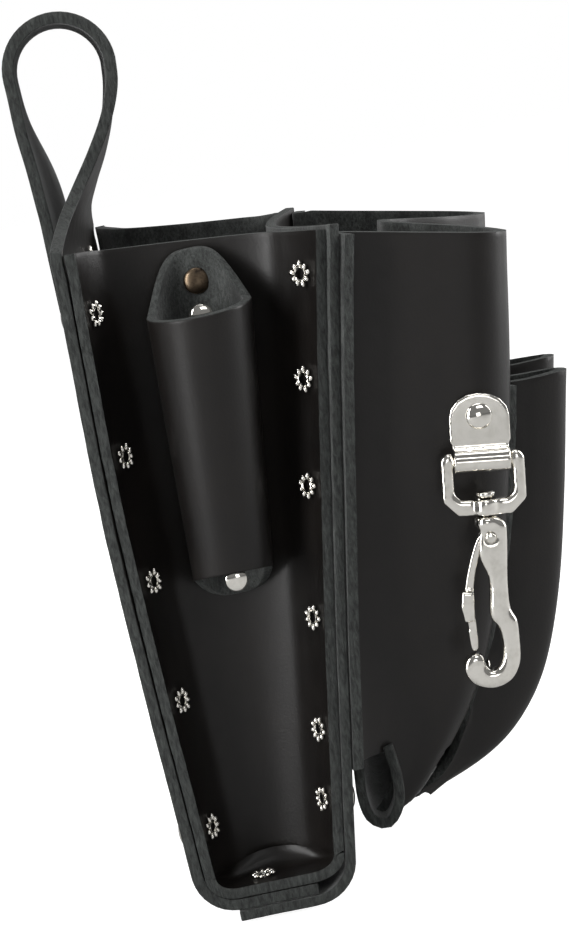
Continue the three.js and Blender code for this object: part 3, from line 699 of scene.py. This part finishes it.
@dataclass
class Body:
    """The main compartment: back panel with its belt loop, front panel and two gussets.

    Args:
        pattern: the sizes that the leather pieces share.
        strap_half: half the width of the belt loop's strap.
        loop_radius: the radius of the loop's crown, in the middle of the leather.
        loop_height: the height of the crown's centre.
        back_bend: the radius of the back panel's bend at the floor.
        front_bend: the radius of the front panel's bend at the floor.
        tongue_bend: the radius of the bend where a gusset turns out over the floor.
        web_depth: how far a gusset is dished.
        web_foot: the height where a gusset's web ends and its tongue begins.
        web_share: the share of a gusset's rows above that height.
    """

    pattern: Pattern
    strap_half: float = 35.0
    loop_radius: float = 17.2
    loop_height: float = -15.2
    back_bend: float = 12.5
    front_bend: float = 14.0
    tongue_bend: float = 5.0
    web_depth: float = 20.0
    web_foot: float = -289.0
    web_share: float = 0.88

    def back_route(self) -> Route:
        """The back panel's line from its floor up to the end of the loop's tail.

        Returns:
            The line as y and z.
        """
        p, bend, top = self.pattern, self.back_bend, self.loop_height
        strap = smooth_route([
            [p.back_y + 0.2, -82], [p.back_y + 0.3, -75], [8.4, -65], [2.9, -55.5], [-3.5, -45.5],
            [-9.6, -34], [-13.3, -23], [-14.2, top],
        ]).points
        tail = smooth_route([[20.2, top], [19.6, -31], [17, -47], [15.8, -60], [15.8, -74],
                             [15.8, -90.5]]).points
        return Route(np.vstack([
            [[-28, p.back_floor]], arc((p.back_y - bend, p.back_floor + bend), bend, -90, 0),
            [[p.back_y, -97]], strap, arc((3, top), self.loop_radius, 180, 0)[1:], tail[1:],
        ]))

    def back(self) -> Surface:
        """The back panel, which narrows at its shoulders into the strap of the belt loop.

        Returns:
            The surface.
        """
        p, route = self.pattern, self.back_route()

        def surface(shares: np.ndarray, down: float) -> np.ndarray:
            """One row of the piece.

            Args:
                shares: the shares of the way across.
                down: the share of the way down.

            Returns:
                The row's points in millimetres.
            """
            y, z = route.walk(np.array([down]))[0]
            rising = down < 0.74
            shoulder = min(max((-50 - z) / 22, 0), 1) if rising else 0
            half = self.strap_half + (p.half_top - self.strap_half) * shoulder ** 2
            if rising and z < p.body_top:
                half = p.half_width(z)
            x = (2 * shares - 1) * half
            twist = 0.08 * ease(z, -60, -20)
            flare = [p.back_flare(value, z) if rising else 0 for value in x]
            cut = 0.14 * ease(down, 0.97, 1)
            return np.stack([x, y + np.array(flare) + twist * x, z + cut * x], axis=1)

        return surface

    def front(self) -> Surface:
        """The front panel, which wraps under the floor.

        Returns:
            The surface.
        """
        p, bend = self.pattern, self.front_bend
        route = Route(np.vstack([
            [[-0.5, p.front_floor]], arc((-27, p.front_floor + bend), bend, 270, 190.3),
            [[p.front_top_y, p.front_top]],
        ]))

        def surface(shares: np.ndarray, down: float) -> np.ndarray:
            """One row of the piece.

            Args:
                shares: the shares of the way across.
                down: the share of the way down.

            Returns:
                The row's points in millimetres.
            """
            y, z = route.walk(np.array([down]))[0]
            x = (2 * shares - 1) * p.half_width(z)
            bow = [p.front_bow(value, z) for value in x]
            return np.stack([x, y + np.array(bow), np.full_like(x, z)], axis=1)

        return surface

    def gusset(self, side: int) -> Surface:
        """A gusset: two flanges that curve into a dished web, which runs out over the floor below.

        Args:
            side: -1 for the left, 1 for the right.

        Returns:
            The surface.
        """
        p = self.pattern
        tongue = self.tongue(side)

        def web(shares: np.ndarray, down: float) -> np.ndarray:
            """One row of the flanges and the web.

            Args:
                shares: the shares of the way across.
                down: the share of the way down.

            Returns:
                The row's points in millimetres.
            """

            def point(inset: float, share: float, layer: Callable[[float, float], float],
                      shift: float = 0.0) -> list[float]:
                """A point of the row's guide.

                Args:
                    inset: how far in from the side it lies.
                    share: how far from back to front it lies.
                    layer: gives the y of the layer that it lies on.
                    shift: how far off that layer it is.

                Returns:
                    The point as x, y and z.
                """
                z = mix(mix(-74, -83, share), self.web_foot, down)
                x = side * (p.half_width(z) - inset)
                return [x, layer(x, z) + shift, z]

            def middle(x: float, z: float) -> float:
                """Halfway between the two flanges."""
                return (p.back_layer(x, z) + p.front_inside(x, z)) / 2

            route = smooth_route([
                point(0, 0, p.back_layer), point(4, 0.02, p.back_layer, -0.3),
                point(8, 0.05, p.back_layer, -1.7), point(13, 0.1, p.back_layer, -4.6),
                point(18, 0.2, p.back_layer, -9.5), point(22.5, 0.5, middle),
                point(18, 0.8, p.front_inside, 9.5), point(13, 0.9, p.front_inside, 4.6),
                point(8, 0.95, p.front_inside, 1.7), point(4, 0.98, p.front_inside, 0.3),
                point(0, 1, p.front_inside),
            ])
            return route.walk(shares)

        def surface(shares: np.ndarray, down: float) -> np.ndarray:
            """One row of the piece.

            Args:
                shares: the shares of the way across.
                down: the share of the way down.

            Returns:
                The row's points in millimetres.
            """
            if down <= self.web_share:
                return web(shares, down / self.web_share)
            out = (down - self.web_share) / (1 - self.web_share)
            return mix(web(shares, 1.0), tongue(shares, out), ease(out, 0, 0.5))

        return surface

    def tongue(self, side: int) -> Surface:
        """The web's lower end, bent outwards over the floor and pressed into its rounded corners.

        Args:
            side: -1 for the left, 1 for the right.

        Returns:
            The surface.
        """
        p = self.pattern
        floor = p.back_floor + (p.back_leather + p.leather) / 2 + p.gap
        edge = p.half_width(self.web_foot)
        web, bend = edge - self.web_depth, self.tongue_bend
        route = Route(np.vstack([
            [[web, self.web_foot]], arc((web + bend, floor + bend), bend, 180, 270), [[edge, floor]],
        ]))
        depth = self.web_foot - floor
        near = p.back_layer(side * edge, self.web_foot)
        far = p.front_inside(side * edge, self.web_foot)
        round_back, round_front = 8.4, 10
        cradle = Route(np.vstack([
            [[near, self.web_foot]],
            [[near - round_back + round_back * math.cos(t), floor + depth * (1 - math.sin(t))]
             for t in np.linspace(0.05, math.pi / 2, 10)],
            [[far + round_front - round_front * math.sin(t), floor + depth * (1 - math.cos(t))]
             for t in np.linspace(0, math.pi / 2, 10)],
        ]))

        def surface(shares: np.ndarray, down: float) -> np.ndarray:
            """One row of the piece.

            Args:
                shares: the shares of the way across.
                down: the share of the way down.

            Returns:
                The row's points in millimetres.
            """
            x, z = route.walk(np.array([down]))[0]
            y, height = cradle.walk(shares).T
            up = np.clip((height - floor) / depth, 0, 1)
            return np.stack([side * mix(x, edge, up), y, height + (z - floor) * (1 - up)], axis=1)

        return surface

    def build(self, wardrobe: Wardrobe) -> None:
        """Builds the four pieces and lets them stand for their solids.

        Args:
            wardrobe: hands out the finishes.
        """
        back = LeatherPiece("back_panel_leather", self.back(), 64, 200, self.pattern.back_leather,
                            turned=True)
        stand_for(back.build(wardrobe), "back_panel_with_belt_loop")
        front = LeatherPiece("front_panel_leather", self.front(), 64, 110, turned=True)
        stand_for(front.build(wardrobe), "front_panel")
        for side, label in ((-1, "left"), (1, "right")):
            web = LeatherPiece(f"{label}_gusset_leather", self.gusset(side), 72, 150,
                               turned=side > 0)
            stand_for(web.build(wardrobe), f"{label}_gusset")


@dataclass
class Pockets:
    """The upper leather with its two lobes and the lower leather that lies over it.

    Args:
        pattern: the sizes that the leather pieces share.
        valley: how far out the valley between the tall lobes lies, as a share of their reach.
        upper_drop: how far the tall pockets' mouth drops towards the front.
        lower_drop: how far the small pockets' mouth drops.
        lower_trim: the share of the small pockets' plan that is trimmed off near the foot.
        foot_width: the width of the tall pockets' foot.
        corner_place: the middle of the cut that opens the tall pockets' lower corner.
        corner_size: the size of that cut each way.
    """

    pattern: Pattern
    valley: float = 0.41
    upper_drop: float = 13.0
    lower_drop: float = 3.0
    lower_trim: float = 0.1
    foot_width: float = 108.0
    corner_place: tuple[float, float, float] = (63.5, -40.0, -282.0)
    corner_size: tuple[float, float, float] = (38.0, 40.0, 40.0)

    def __post_init__(self) -> None:
        """Draws the side outlines of both leathers, as y and z."""
        self.upper_line = smooth_route([
            [-132.2, -84], [-122, -150], [-108.5, -208], [-90.5, -252], [-67, -281], [-57, -286]])
        self.lower_line = smooth_route([
            [-144.8, -147], [-135, -195], [-126, -230], [-114, -259], [-98, -276], [-86, -281],
            [-76.5, -283.5]])

    def reach(self, z: float) -> float:
        """Where the upper outline stands at a height."""
        y, heights = self.upper_line.points.T
        return float(np.interp(-z, -heights, y))

    def fall(self, z: float) -> float:
        """How fast the upper outline runs back towards the pouch on its way down."""
        return (self.reach(z - 4) - self.reach(z + 4)) / 8

    def upper_plan(self, reach: float, z: float) -> Route:
        """The plan of the upper leather at a height.

        Args:
            reach: how far out the lobes stand.
            z: the height.

        Returns:
            The plan as x, y and z.
        """
        p = self.pattern
        edge = p.half_width(z)
        lean = max(0.0, -155 - z) * 0.1
        fade = ease(-z, 250, 282)

        def seam(x: float) -> float:
            """Where the flange lies on the front panel."""
            return p.front_outside(x, z)

        def at(side: int, inset: float, share: float) -> list[float]:
            """A point of one side of the plan.

            Args:
                side: -1 for the left, 1 for the right.
                inset: how far in from the side it lies.
                share: its share of the way from the panel to the reach.

            Returns:
                The point as x, y and z.
            """
            x = side * (edge - inset)
            root = mix(seam(12 - edge), seam(edge - 12), ease(x, -30, 30))
            held = mix(share, 0.96, fade) if inset > 30 else share
            return [x, mix(root, reach, held), z]

        def wall(side: int) -> list[list[float]]:
            """One lobe, from its flange to the valley.

            Args:
                side: -1 for the left, 1 for the right.

            Returns:
                The points of its plan.
            """
            return [
                [side * edge, seam(side * edge), z],
                [side * (edge - 9), seam(side * (edge - 9)), z],
                [side * (edge - 12), seam(side * (edge - 12)) - 1.3, z],
                at(side, 13.5 + 0.4 * lean, 0.25), at(side, 13 + 0.9 * lean, 0.6),
                at(side, 14 + lean, 0.88), at(side, 21 + 0.8 * lean, 1), at(side, edge - 40, 0.96),
                at(side, edge - 26, 0.8), at(side, edge - 12, 0.53),
                at(side, edge - 5.5, self.valley + 0.01),
            ]

        return smooth_route([*wall(-1), at(1, edge, self.valley), *wall(1)[::-1]])

    def lower_plan(self, reach: float, z: float) -> Route:
        """The plan of the lower leather, whose flanges lie on the upper leather.

        Args:
            reach: how far out the small lobes stand.
            z: the height.

        Returns:
            The plan as x, y and z.
        """
        edge = self.pattern.half_width(z)
        behind = self.upper_plan(self.reach(z), z)
        clear = (self.pattern.leather + self.pattern.gap) * math.hypot(1, self.fall(z)) + 1

        def on(side: int, x: float) -> np.ndarray:
            """A point that lies on the upper leather.

            Args:
                side: -1 for the left, 1 for the right.
                x: its distance from the middle.

            Returns:
                The point as x, y and z.
            """
            spans = (0.05, 0.5) if side < 0 else (0.5, 0.95)
            point, out = behind.cross(side * x, *spans)
            return point + out * clear

        valley = on(1, 0.0)
        valley[0] = 0.0
        valley[1] = mix(valley[1], reach, 0.8 * ease(-z, 262, 283))

        def wall(side: int) -> list[Sequence[float]]:
            """One small lobe, from its flange to the valley.

            Args:
                side: -1 for the left, 1 for the right.

            Returns:
                The points of its plan.
            """
            flange = on(side, edge - 39)
            return [
                on(side, edge - 29), on(side, edge - 34), flange,
                [side * (edge - 43), mix(flange[1], reach, 0.6), z],
                [side * (edge - 48), reach, z], [side * (edge - 55), reach + 1.5, z],
                [side * 13, mix(reach, valley[1], 0.55), z], on(side, 6.5),
            ]

        return smooth_route([*wall(-1), valley, *wall(1)[::-1]])

    def hung(self, line: Route, plan: Callable[[float, float], Route], mouth_drop: float,
             trim: float = 0.0) -> Surface:
        """A surface that follows a side outline, with a plan at each height.

        Args:
            line: the side outline, as y and z.
            plan: gives the plan for a reach and a height.
            mouth_drop: how far the mouth drops towards the front, in millimetres.
            trim: the share of the plan that is trimmed off each side near the foot.

        Returns:
            The surface.
        """

        def surface(shares: np.ndarray, down: float) -> np.ndarray:
            """One row of the piece.

            Args:
                shares: the shares of the way across.
                down: the share of the way down.

            Returns:
                The row's points in millimetres.
            """
            y, z = line.walk(np.array([down]))[0]
            off = trim * ease(-z, 250, 268)
            points = plan(float(y), float(z)).walk(mix(off, 1 - off, shares))
            out = np.clip((-72 - points[:, 1]) / 60, 0, 1)
            points[:, 2] -= mouth_drop * out * (1 - down) ** 2
            return points

        return surface

    def foot(self) -> Surface:
        """The foot of the upper leather, which turns up against the front panel as a gutter.

        Returns:
            The surface.
        """
        route = smooth_route([[-60.5, -260], [-61.5, -272], [-60, -281], [-55, -286.5],
                              [-50.2, -284], [-48.4, -276], [-50, -262]])

        def surface(shares: np.ndarray, down: float) -> np.ndarray:
            """One row of the piece.

            Args:
                shares: the shares of the way across.
                down: the share of the way down.

            Returns:
                The row's points in millimetres.
            """
            y, z = route.walk(np.array([down]))[0]
            x = self.foot_width * (shares - 0.5)
            return np.stack([x, np.full_like(x, y), np.full_like(x, z)], axis=1)

        return surface

    def open_corners(self, piece: bpy.types.Object) -> None:
        """Cuts the lower corners away on both sides.

        Args:
            piece: the leather that is cut.
        """
        x, y, z = self.corner_place
        for side in (-1, 1):
            bpy.ops.object.select_all(action="DESELECT")
            bpy.ops.mesh.primitive_cube_add(size=1, location=(side * x * MM, y * MM, z * MM),
                                            scale=[length * MM for length in self.corner_size])
            cutter = bpy.context.view_layer.objects.active
            cutter.data.materials.append(piece.data.materials[2])
            apply_modifier(piece, "BOOLEAN", object=cutter, operation="DIFFERENCE",
                           material_mode="TRANSFER")
            bpy.data.objects.remove(cutter)

    def build(self, wardrobe: Wardrobe) -> None:
        """Builds both leathers and lets them stand for their solids.

        Args:
            wardrobe: hands out the finishes.
        """
        tall = self.hung(self.upper_line, self.upper_plan, self.upper_drop)
        hide = LeatherPiece("upper_pocket", tall, 220, 120).build(wardrobe)
        foot = LeatherPiece("pocket_foot", self.foot(), 40, 24)
        self.open_corners(hide)
        stand_for(join([hide, foot.build(wardrobe)], "upper_pocket_hide"), "upper_pocket_leather")
        small = self.hung(self.lower_line, self.lower_plan, self.lower_drop, self.lower_trim)
        lower = LeatherPiece("lower_pocket_hide", small, 180, 90, evened=60)
        stand_for(lower.build(wardrobe), "lower_pocket_leather")


@dataclass
class Sleeve:
    """A tapered tube for one tool, with a flap behind its mouth and a tab below its foot.

    Args:
        top: the mouth's centre as x, y and z, and its radius.
        foot: the same at the foot.
        leather: the leather's thickness.
        flap: how far the flap rises behind the mouth.
        dip: how far the mouth dips in front.
        tab: how far the tab hangs below the foot.
        lift: how far the foot rises in front.
        squeeze: the share by which the flap is flattened.
    """

    top: tuple[float, float, float, float] = (-72.3, -30.3, -98.0, 16.0)
    foot: tuple[float, float, float, float] = (-64.2, -22.3, -192.0, 12.0)
    leather: float = 3.0
    flap: float = 17.0
    dip: float = 3.0
    tab: float = 6.0
    lift: float = 5.5
    squeeze: float = 0.25

    def tube(self) -> Surface:
        """The tube, whose mouth rises behind into the flap and dips in front.

        Returns:
            The surface.
        """

        def surface(shares: np.ndarray, down: float) -> np.ndarray:
            """One row of the piece.

            Args:
                shares: the shares of the way across.
                down: the share of the way down.

            Returns:
                The row's points in millimetres.
            """
            angle = shares * math.tau
            x, y, z, radius = (mix(a, b, down) for a, b in zip(self.top, self.foot))
            behind = np.clip((np.cos(angle) - 0.05) / 0.95, 0, 1)
            behind = behind ** 2 * (3 - 2 * behind)
            before = (1 - np.cos(angle)) / 2
            rise = self.flap * behind * (1 - down) ** 6 - self.dip * (1 - down) ** 3 * before
            rise += down ** 6 * (self.lift * before - self.tab * behind)
            flat = 1 - self.squeeze * behind * (1 - down) ** 6
            return np.stack([x + radius * np.cos(angle), y + radius * np.sin(angle) * flat,
                             z + rise], axis=1)

        return surface

    def build(self, wardrobe: Wardrobe) -> None:
        """Builds the sleeve.

        Args:
            wardrobe: hands out the finishes.
        """
        sleeve = LeatherPiece("sleeve_leather", self.tube(), 96, 90, self.leather, closed=True,
                              wander=0.0)
        stand_for(sleeve.build(wardrobe), "tool_sleeve")


def stand_for(piece: bpy.types.Object, node: str, body: str = "pouch") -> None:
    """Lets a piece ride on its body and stand for its solid.

    Args:
        piece: the finished piece.
        node: the solid's name.
        body: the body that it rides on.
    """
    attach(piece, body)
    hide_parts(node)
    LOG.info("%s: %d faces", piece.name, len(piece.data.polygons))


# ---------------------------------------------------------------- rivets


@dataclass
class TubularRivet:
    """A tubular rivet: a domed cap in front and a split end rolled into a rosette behind.

    Args:
        petals: how many petals the split end has.
        ring: the radius of the ring of petals.
        stagger: how much further out every second petal lies.
        bead: the radius of a petal.
        roll: the radius of the rolled rim of the open tube.
        head_radius: the cap's radius.
        dome: the cap's height as a share of its radius.
        shank_radius: the tube's radius.
        lean: how far a clinch turns to lie on the curve of a gusset's flange.
        seat: how far the cap's rim lies under the top of the solid.
    """

    petals: int = 9
    ring: float = 3.0
    stagger: float = 0.35
    bead: float = 0.95
    roll: float = 0.45
    head_radius: float = 4.4
    dome: float = 0.34
    shank_radius: float = 1.3
    lean: float = math.radians(26)
    seat: float = 2.0

    def cap(self, low: float, wardrobe: Wardrobe, finish: Finish) -> bpy.types.Object:
        """The domed cap.

        Args:
            low: the height of its rim along the rivet.
            wardrobe: hands out the finishes.
            finish: the rivet's finish.

        Returns:
            The cap.
        """
        bpy.ops.object.select_all(action="DESELECT")
        bpy.ops.mesh.primitive_uv_sphere_add(segments=32, ring_count=16, radius=self.head_radius * MM,
                                             location=(0, 0, low * MM), scale=(1, 1, self.dome))
        piece = bpy.context.view_layer.objects.active
        bpy.ops.object.transform_apply(location=True, rotation=True, scale=True)
        bpy.ops.object.mode_set(mode="EDIT")
        bpy.ops.mesh.bisect(plane_co=(0, 0, (low - 0.15) * MM), plane_no=(0, 0, 1), use_fill=True,
                            clear_inner=True)
        bpy.ops.object.mode_set(mode="OBJECT")
        piece.data.materials.append(wardrobe.get(finish))
        return piece

    def rosette(self, high: float, wardrobe: Wardrobe, finish: Finish) -> bpy.types.Object:
        """The rolled petals round the open tube.

        Args:
            high: the height along the rivet where they lie on the leather.
            wardrobe: hands out the finishes.
            finish: the rivet's finish.

        Returns:
            The rosette.
        """
        beads = []
        for turn in range(self.petals):
            angle = math.tau * turn / self.petals
            out = self.ring + self.stagger * (turn % 2)
            place = (out * math.cos(angle) * MM, out * math.sin(angle) * MM, (high - 0.7) * MM)
            bpy.ops.object.select_all(action="DESELECT")
            bpy.ops.mesh.primitive_uv_sphere_add(segments=14, ring_count=8, radius=self.bead * MM,
                                                 location=place, rotation=(0, 0, angle),
                                                 scale=(1.25, 0.95, 0.85))
            bpy.ops.object.transform_apply(location=True, rotation=True, scale=True)
            beads.append(bpy.context.view_layer.objects.active)
        bpy.ops.object.select_all(action="DESELECT")
        bpy.ops.mesh.primitive_torus_add(major_radius=(self.ring - 2 * self.roll) * MM,
                                         minor_radius=self.roll * MM,
                                         major_segments=32, minor_segments=8,
                                         location=(0, 0, (high - 0.5) * MM))
        bpy.ops.object.transform_apply(location=True)
        beads.append(bpy.context.view_layer.objects.active)
        piece = join(beads, "rosette")
        piece.data.materials.append(wardrobe.get(finish))
        return piece

    def shank(self, low: float, high: float) -> bpy.types.Object:
        """The tube through the layers.

        Args:
            low: the height of its lower end along the rivet.
            high: the height of its upper end.

        Returns:
            The tube.
        """
        bpy.ops.object.select_all(action="DESELECT")
        bpy.ops.mesh.primitive_cylinder_add(vertices=16, radius=self.shank_radius * MM,
                                            depth=(high - low) * MM,
                                            location=(0, 0, (low + high) / 2 * MM))
        bpy.ops.object.transform_apply(location=True)
        return bpy.context.view_layer.objects.active

    def build(self, node: str, wardrobe: Wardrobe) -> None:
        """Builds the rivet that stands for a solid, in that solid's place.

        Args:
            node: the solid's name.
            wardrobe: hands out the finishes.
        """
        finish = Finish.ANTIQUE if node == "sleeve_flap_rivet" else Finish.NICKEL
        centre, axis, low, high = rivet_frame(solid_points(node))
        turn = Vector((0, 0, 1)).rotation_difference(axis).to_matrix().to_4x4()
        place = Matrix.Translation(centre) @ turn
        head = join([self.cap(high - self.seat, wardrobe, finish), self.shank(low + 1.0, high - 1.3)],
                    "head")
        head.data.transform(place)
        clinch = self.rosette(low + 1.2, wardrobe, finish)
        clinch.data.transform(self.follow_curve(node, centre + axis * low * MM) @ place)
        piece = join([head, clinch], f"{node}_metal")
        smooth(piece)
        stand_for(piece, node)

    def follow_curve(self, node: str, foot: Vector) -> Matrix:
        """Turns a gusset rivet's clinch to lie on the curve of the flange.

        Args:
            node: the solid's name.
            foot: where the clinch stands, in metres.

        Returns:
            The move, which leaves other rivets where they are.
        """
        panel = 1 if "_back_rivet" in node else -1
        if "_back_rivet" not in node and "_front_rivet" not in node:
            return Matrix.Identity(4)
        side = -1 if node.startswith("left") else 1
        turn = Matrix.Rotation(side * panel * self.lean, 4, "Z")
        lift = Vector((side * 0.3, -panel * 1.5, 0)) * MM
        return Matrix.Translation(foot + lift) @ turn @ Matrix.Translation(-foot)


def solid_points(node: str) -> np.ndarray:
    """The distinct points of a solid.

    Args:
        node: the solid's name.

    Returns:
        The points in metres, one row each.
    """
    mesh = bpy.data.objects[node].data
    points = np.empty(len(mesh.vertices) * 3)
    mesh.vertices.foreach_get("co", points)
    return np.unique(np.round(points.reshape(-1, 3), 6), axis=0)


def rivet_frame(points: np.ndarray) -> tuple[Vector, Vector, float, float]:
    """Where a rivet stands.

    Args:
        points: the distinct points of its solid, in metres.

    Returns:
        Its centre in metres, the way its head faces, and how far it reaches each way in millimetres.
    """
    centre = points.mean(axis=0)
    spread, turns = np.linalg.eigh(np.cov((points - centre).T))
    lone = 0 if abs(spread[1] - spread[0]) > abs(spread[2] - spread[1]) else 2
    axis = turns[:, lone]
    heights = (points - centre) @ axis
    across = np.linalg.norm(points - centre - np.outer(heights, axis), axis=1)
    if heights[int(np.argmax(across))] < 0:
        axis, heights = -axis, -heights
    return Vector(centre), Vector(axis), heights.min() / MM, heights.max() / MM


# ---------------------------------------------------------------- swivel snap


@dataclass
class SwivelSnap:
    """The snap: a plate with a barrel, the eye that hangs in it, and the body with its lever.

    Args:
        grain: the cell that the solids are remeshed at.
        pin_radius: the radius of the lever's pin.
        peen: how far the pin's ends are rounded.
    """

    grain: float = 0.4
    pin_radius: float = 1.7
    peen: float = 0.5

    def soften(self, node: str, body: str, passes: int, wardrobe: Wardrobe) -> None:
        """Copies a solid, tumbles its edges round and lets it stand for the solid.

        Args:
            node: the solid's name.
            body: the body that the piece rides on.
            passes: how often the surface is evened out, which rounds its edges further.
            wardrobe: hands out the finishes.
        """
        source = bpy.data.objects[node]
        piece = bpy.data.objects.new(f"{node}_plated", source.data.copy())
        bpy.context.collection.objects.link(piece)
        only(piece)
        bpy.ops.object.mode_set(mode="EDIT")
        bpy.ops.mesh.select_all(action="SELECT")
        bpy.ops.mesh.remove_doubles(threshold=0.00002)
        bpy.ops.object.mode_set(mode="OBJECT")
        apply_modifier(piece, "REMESH", mode="VOXEL", voxel_size=self.grain * MM)
        apply_modifier(piece, "SMOOTH", factor=0.5, iterations=passes)
        smooth(piece, 50)
        piece.data.materials.clear()
        piece.data.materials.append(wardrobe.get(Finish.NICKEL))
        stand_for(piece, node, body)

    def pin(self, node: str, wardrobe: Wardrobe) -> None:
        """The lever's pin, peened at both ends.

        Args:
            node: the solid's name.
            wardrobe: hands out the finishes.
        """
        centre, axis, low, high = rivet_frame(solid_points(node))
        bpy.ops.object.select_all(action="DESELECT")
        bpy.ops.mesh.primitive_cylinder_add(vertices=32, radius=self.pin_radius * MM,
                                            depth=(high - low) * MM)
        piece = bpy.context.view_layer.objects.active
        piece.name = f"{node}_peened"
        apply_modifier(piece, "BEVEL", width=self.peen * MM, segments=3, limit_method="ANGLE",
                       angle_limit=math.radians(40))
        turn = Vector((0, 0, 1)).rotation_difference(axis).to_matrix().to_4x4()
        piece.data.transform(Matrix.Translation(centre) @ turn)
        smooth(piece)
        piece.data.materials.append(wardrobe.get(Finish.NICKEL))
        stand_for(piece, node, "snap")

    def build(self, wardrobe: Wardrobe) -> None:
        """Builds the five pieces.

        Args:
            wardrobe: hands out the finishes.
        """
        self.soften("snap_plate", "pouch", 4, wardrobe)
        self.soften("snap_eye", "eye", 40, wardrobe)
        self.soften("snap_body", "snap", 90, wardrobe)
        self.soften("snap_lever", "lever", 12, wardrobe)
        self.pin("snap_lever_pin", wardrobe)


# ---------------------------------------------------------------- studio


@dataclass
class Studio:
    """A white sweep, soft lights and the camera.

    Args:
        lens: the camera's focal length in millimetres.
        place: where the camera stands, in metres.
        floor_height: the height of the floor, in metres.
        glow: how bright the floor is to the camera.
        dim: how strong the background is as a light.
    """

    lens: float = 108.0
    place: tuple[float, float, float] = (-0.975, -0.0745, -0.0255)
    floor_height: float = -0.3075
    glow: float = 0.93
    dim: float = 0.2

    def camera(self) -> None:
        """Stands the camera on the near side, a little above the pouch."""
        out, rise = CAMERA_LEAN, CAMERA_TILT
        drop = math.sin(out)
        forward = Vector((math.cos(out), drop * math.sin(rise), -drop * math.cos(rise)))
        right = Vector((0, -math.cos(rise), -math.sin(rise)))
        up = right.cross(forward)
        bpy.ops.object.camera_add(location=self.place)
        camera = bpy.context.view_layer.objects.active
        camera.rotation_euler = Matrix((right, up, -forward)).transposed().to_euler()
        camera.data.lens = self.lens
        camera.data.sensor_width = 36.0
        bpy.context.scene.camera = camera

    def floor(self) -> None:
        """A plain white floor under the pouch, which itself throws little light."""
        bpy.ops.object.select_all(action="DESELECT")
        bpy.ops.mesh.primitive_plane_add(size=12, location=(0, 0, self.floor_height))
        floor = bpy.context.view_layer.objects.active
        floor.name = "studio_floor"
        material, tree, shader = new_material("white_paper_sweep")
        shader.inputs["Base Color"].default_value = linear("#b4b4b4")
        shader.inputs["Roughness"].default_value = 0.9
        shader.inputs["Emission Color"].default_value = linear("#ffffff")
        seen = add_node(tree, "ShaderNodeLightPath").outputs["Is Camera Ray"]
        glow = add_node(tree, "ShaderNodeMapRange", Value=seen, To_Min=0.0, To_Max=self.glow)
        tree.links.new(glow.outputs["Result"], shader.inputs["Emission Strength"])
        floor.data.materials.append(material)

    def light(self, name: str, place: Vector, aim: Vector, size: tuple[float, float],
              power: float) -> None:
        """Hangs a soft box that faces a point.

        Args:
            name: the light's name.
            place: where it hangs, in metres.
            aim: the point that it faces.
            size: its width and height in metres.
            power: its power in watts.
        """
        data = bpy.data.lights.new(name, "AREA")
        data.shape = "RECTANGLE"
        data.size, data.size_y = size
        data.energy = power
        lamp = bpy.data.objects.new(name, data)
        lamp.location = place
        lamp.rotation_euler = (aim - place).to_track_quat("-Z", "Y").to_euler()
        lamp.visible_camera = False
        bpy.context.collection.objects.link(lamp)

    def world(self) -> None:
        """White to the eye, dim as a light, so that the soft boxes shape the leather."""
        world = bpy.data.worlds.new("studio_world")
        world.use_nodes = True
        tree = world.node_tree
        seen = add_node(tree, "ShaderNodeLightPath").outputs["Is Camera Ray"]
        strength = add_node(tree, "ShaderNodeMapRange", Value=seen, To_Min=self.dim, To_Max=1.0)
        shade = tree.nodes["Background"]
        shade.inputs["Color"].default_value = linear("#ffffff")
        tree.links.new(strength.outputs["Result"], shade.inputs["Strength"])
        bpy.context.scene.world = world

    def build(self) -> None:
        """Builds the camera, the floor and the lights."""
        self.camera()
        self.floor()
        self.world()
        aim = Vector((-0.03, -0.06, -0.17))
        self.light("left_box", Vector((-0.9, 0.95, 0.2)), aim, (0.4, 1.3), 17)
        self.light("right_strip", Vector((0.1, -1.3, 0.2)), aim, (0.35, 1.3), 15)
        self.light("front_box", Vector((-1.4, -0.45, 0.8)), aim, (0.8, 0.5), 3.5)
        self.light("low_card", Vector((-1.35, -0.14, -0.16)), aim, (0.28, 0.24), 0.45)
        self.light("back_card", Vector((0.7, -0.95, 0.05)), aim, (0.9, 0.9), 4)
        self.light("top_box", Vector((0.1, -0.1, 1.1)), aim, (1.0, 1.0), 10)
        bpy.context.scene.view_settings.view_transform = "Standard"


def main() -> None:
    """Loads the frame and builds the pouch around it."""
    logging.basicConfig(level=logging.INFO, format="%(name)s %(message)s")
    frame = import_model()
    studio = Studio()
    studio.build()
    wardrobe = Wardrobe()
    pattern = Pattern()
    Body(pattern).build(wardrobe)
    Pockets(pattern).build(wardrobe)
    Sleeve().build(wardrobe)
    for node in sorted(name for name in frame["nodes"] if "rivet" in name):
        TubularRivet().build(node, wardrobe)
    SwivelSnap().build(wardrobe)


if __name__ == "__main__":
    main()
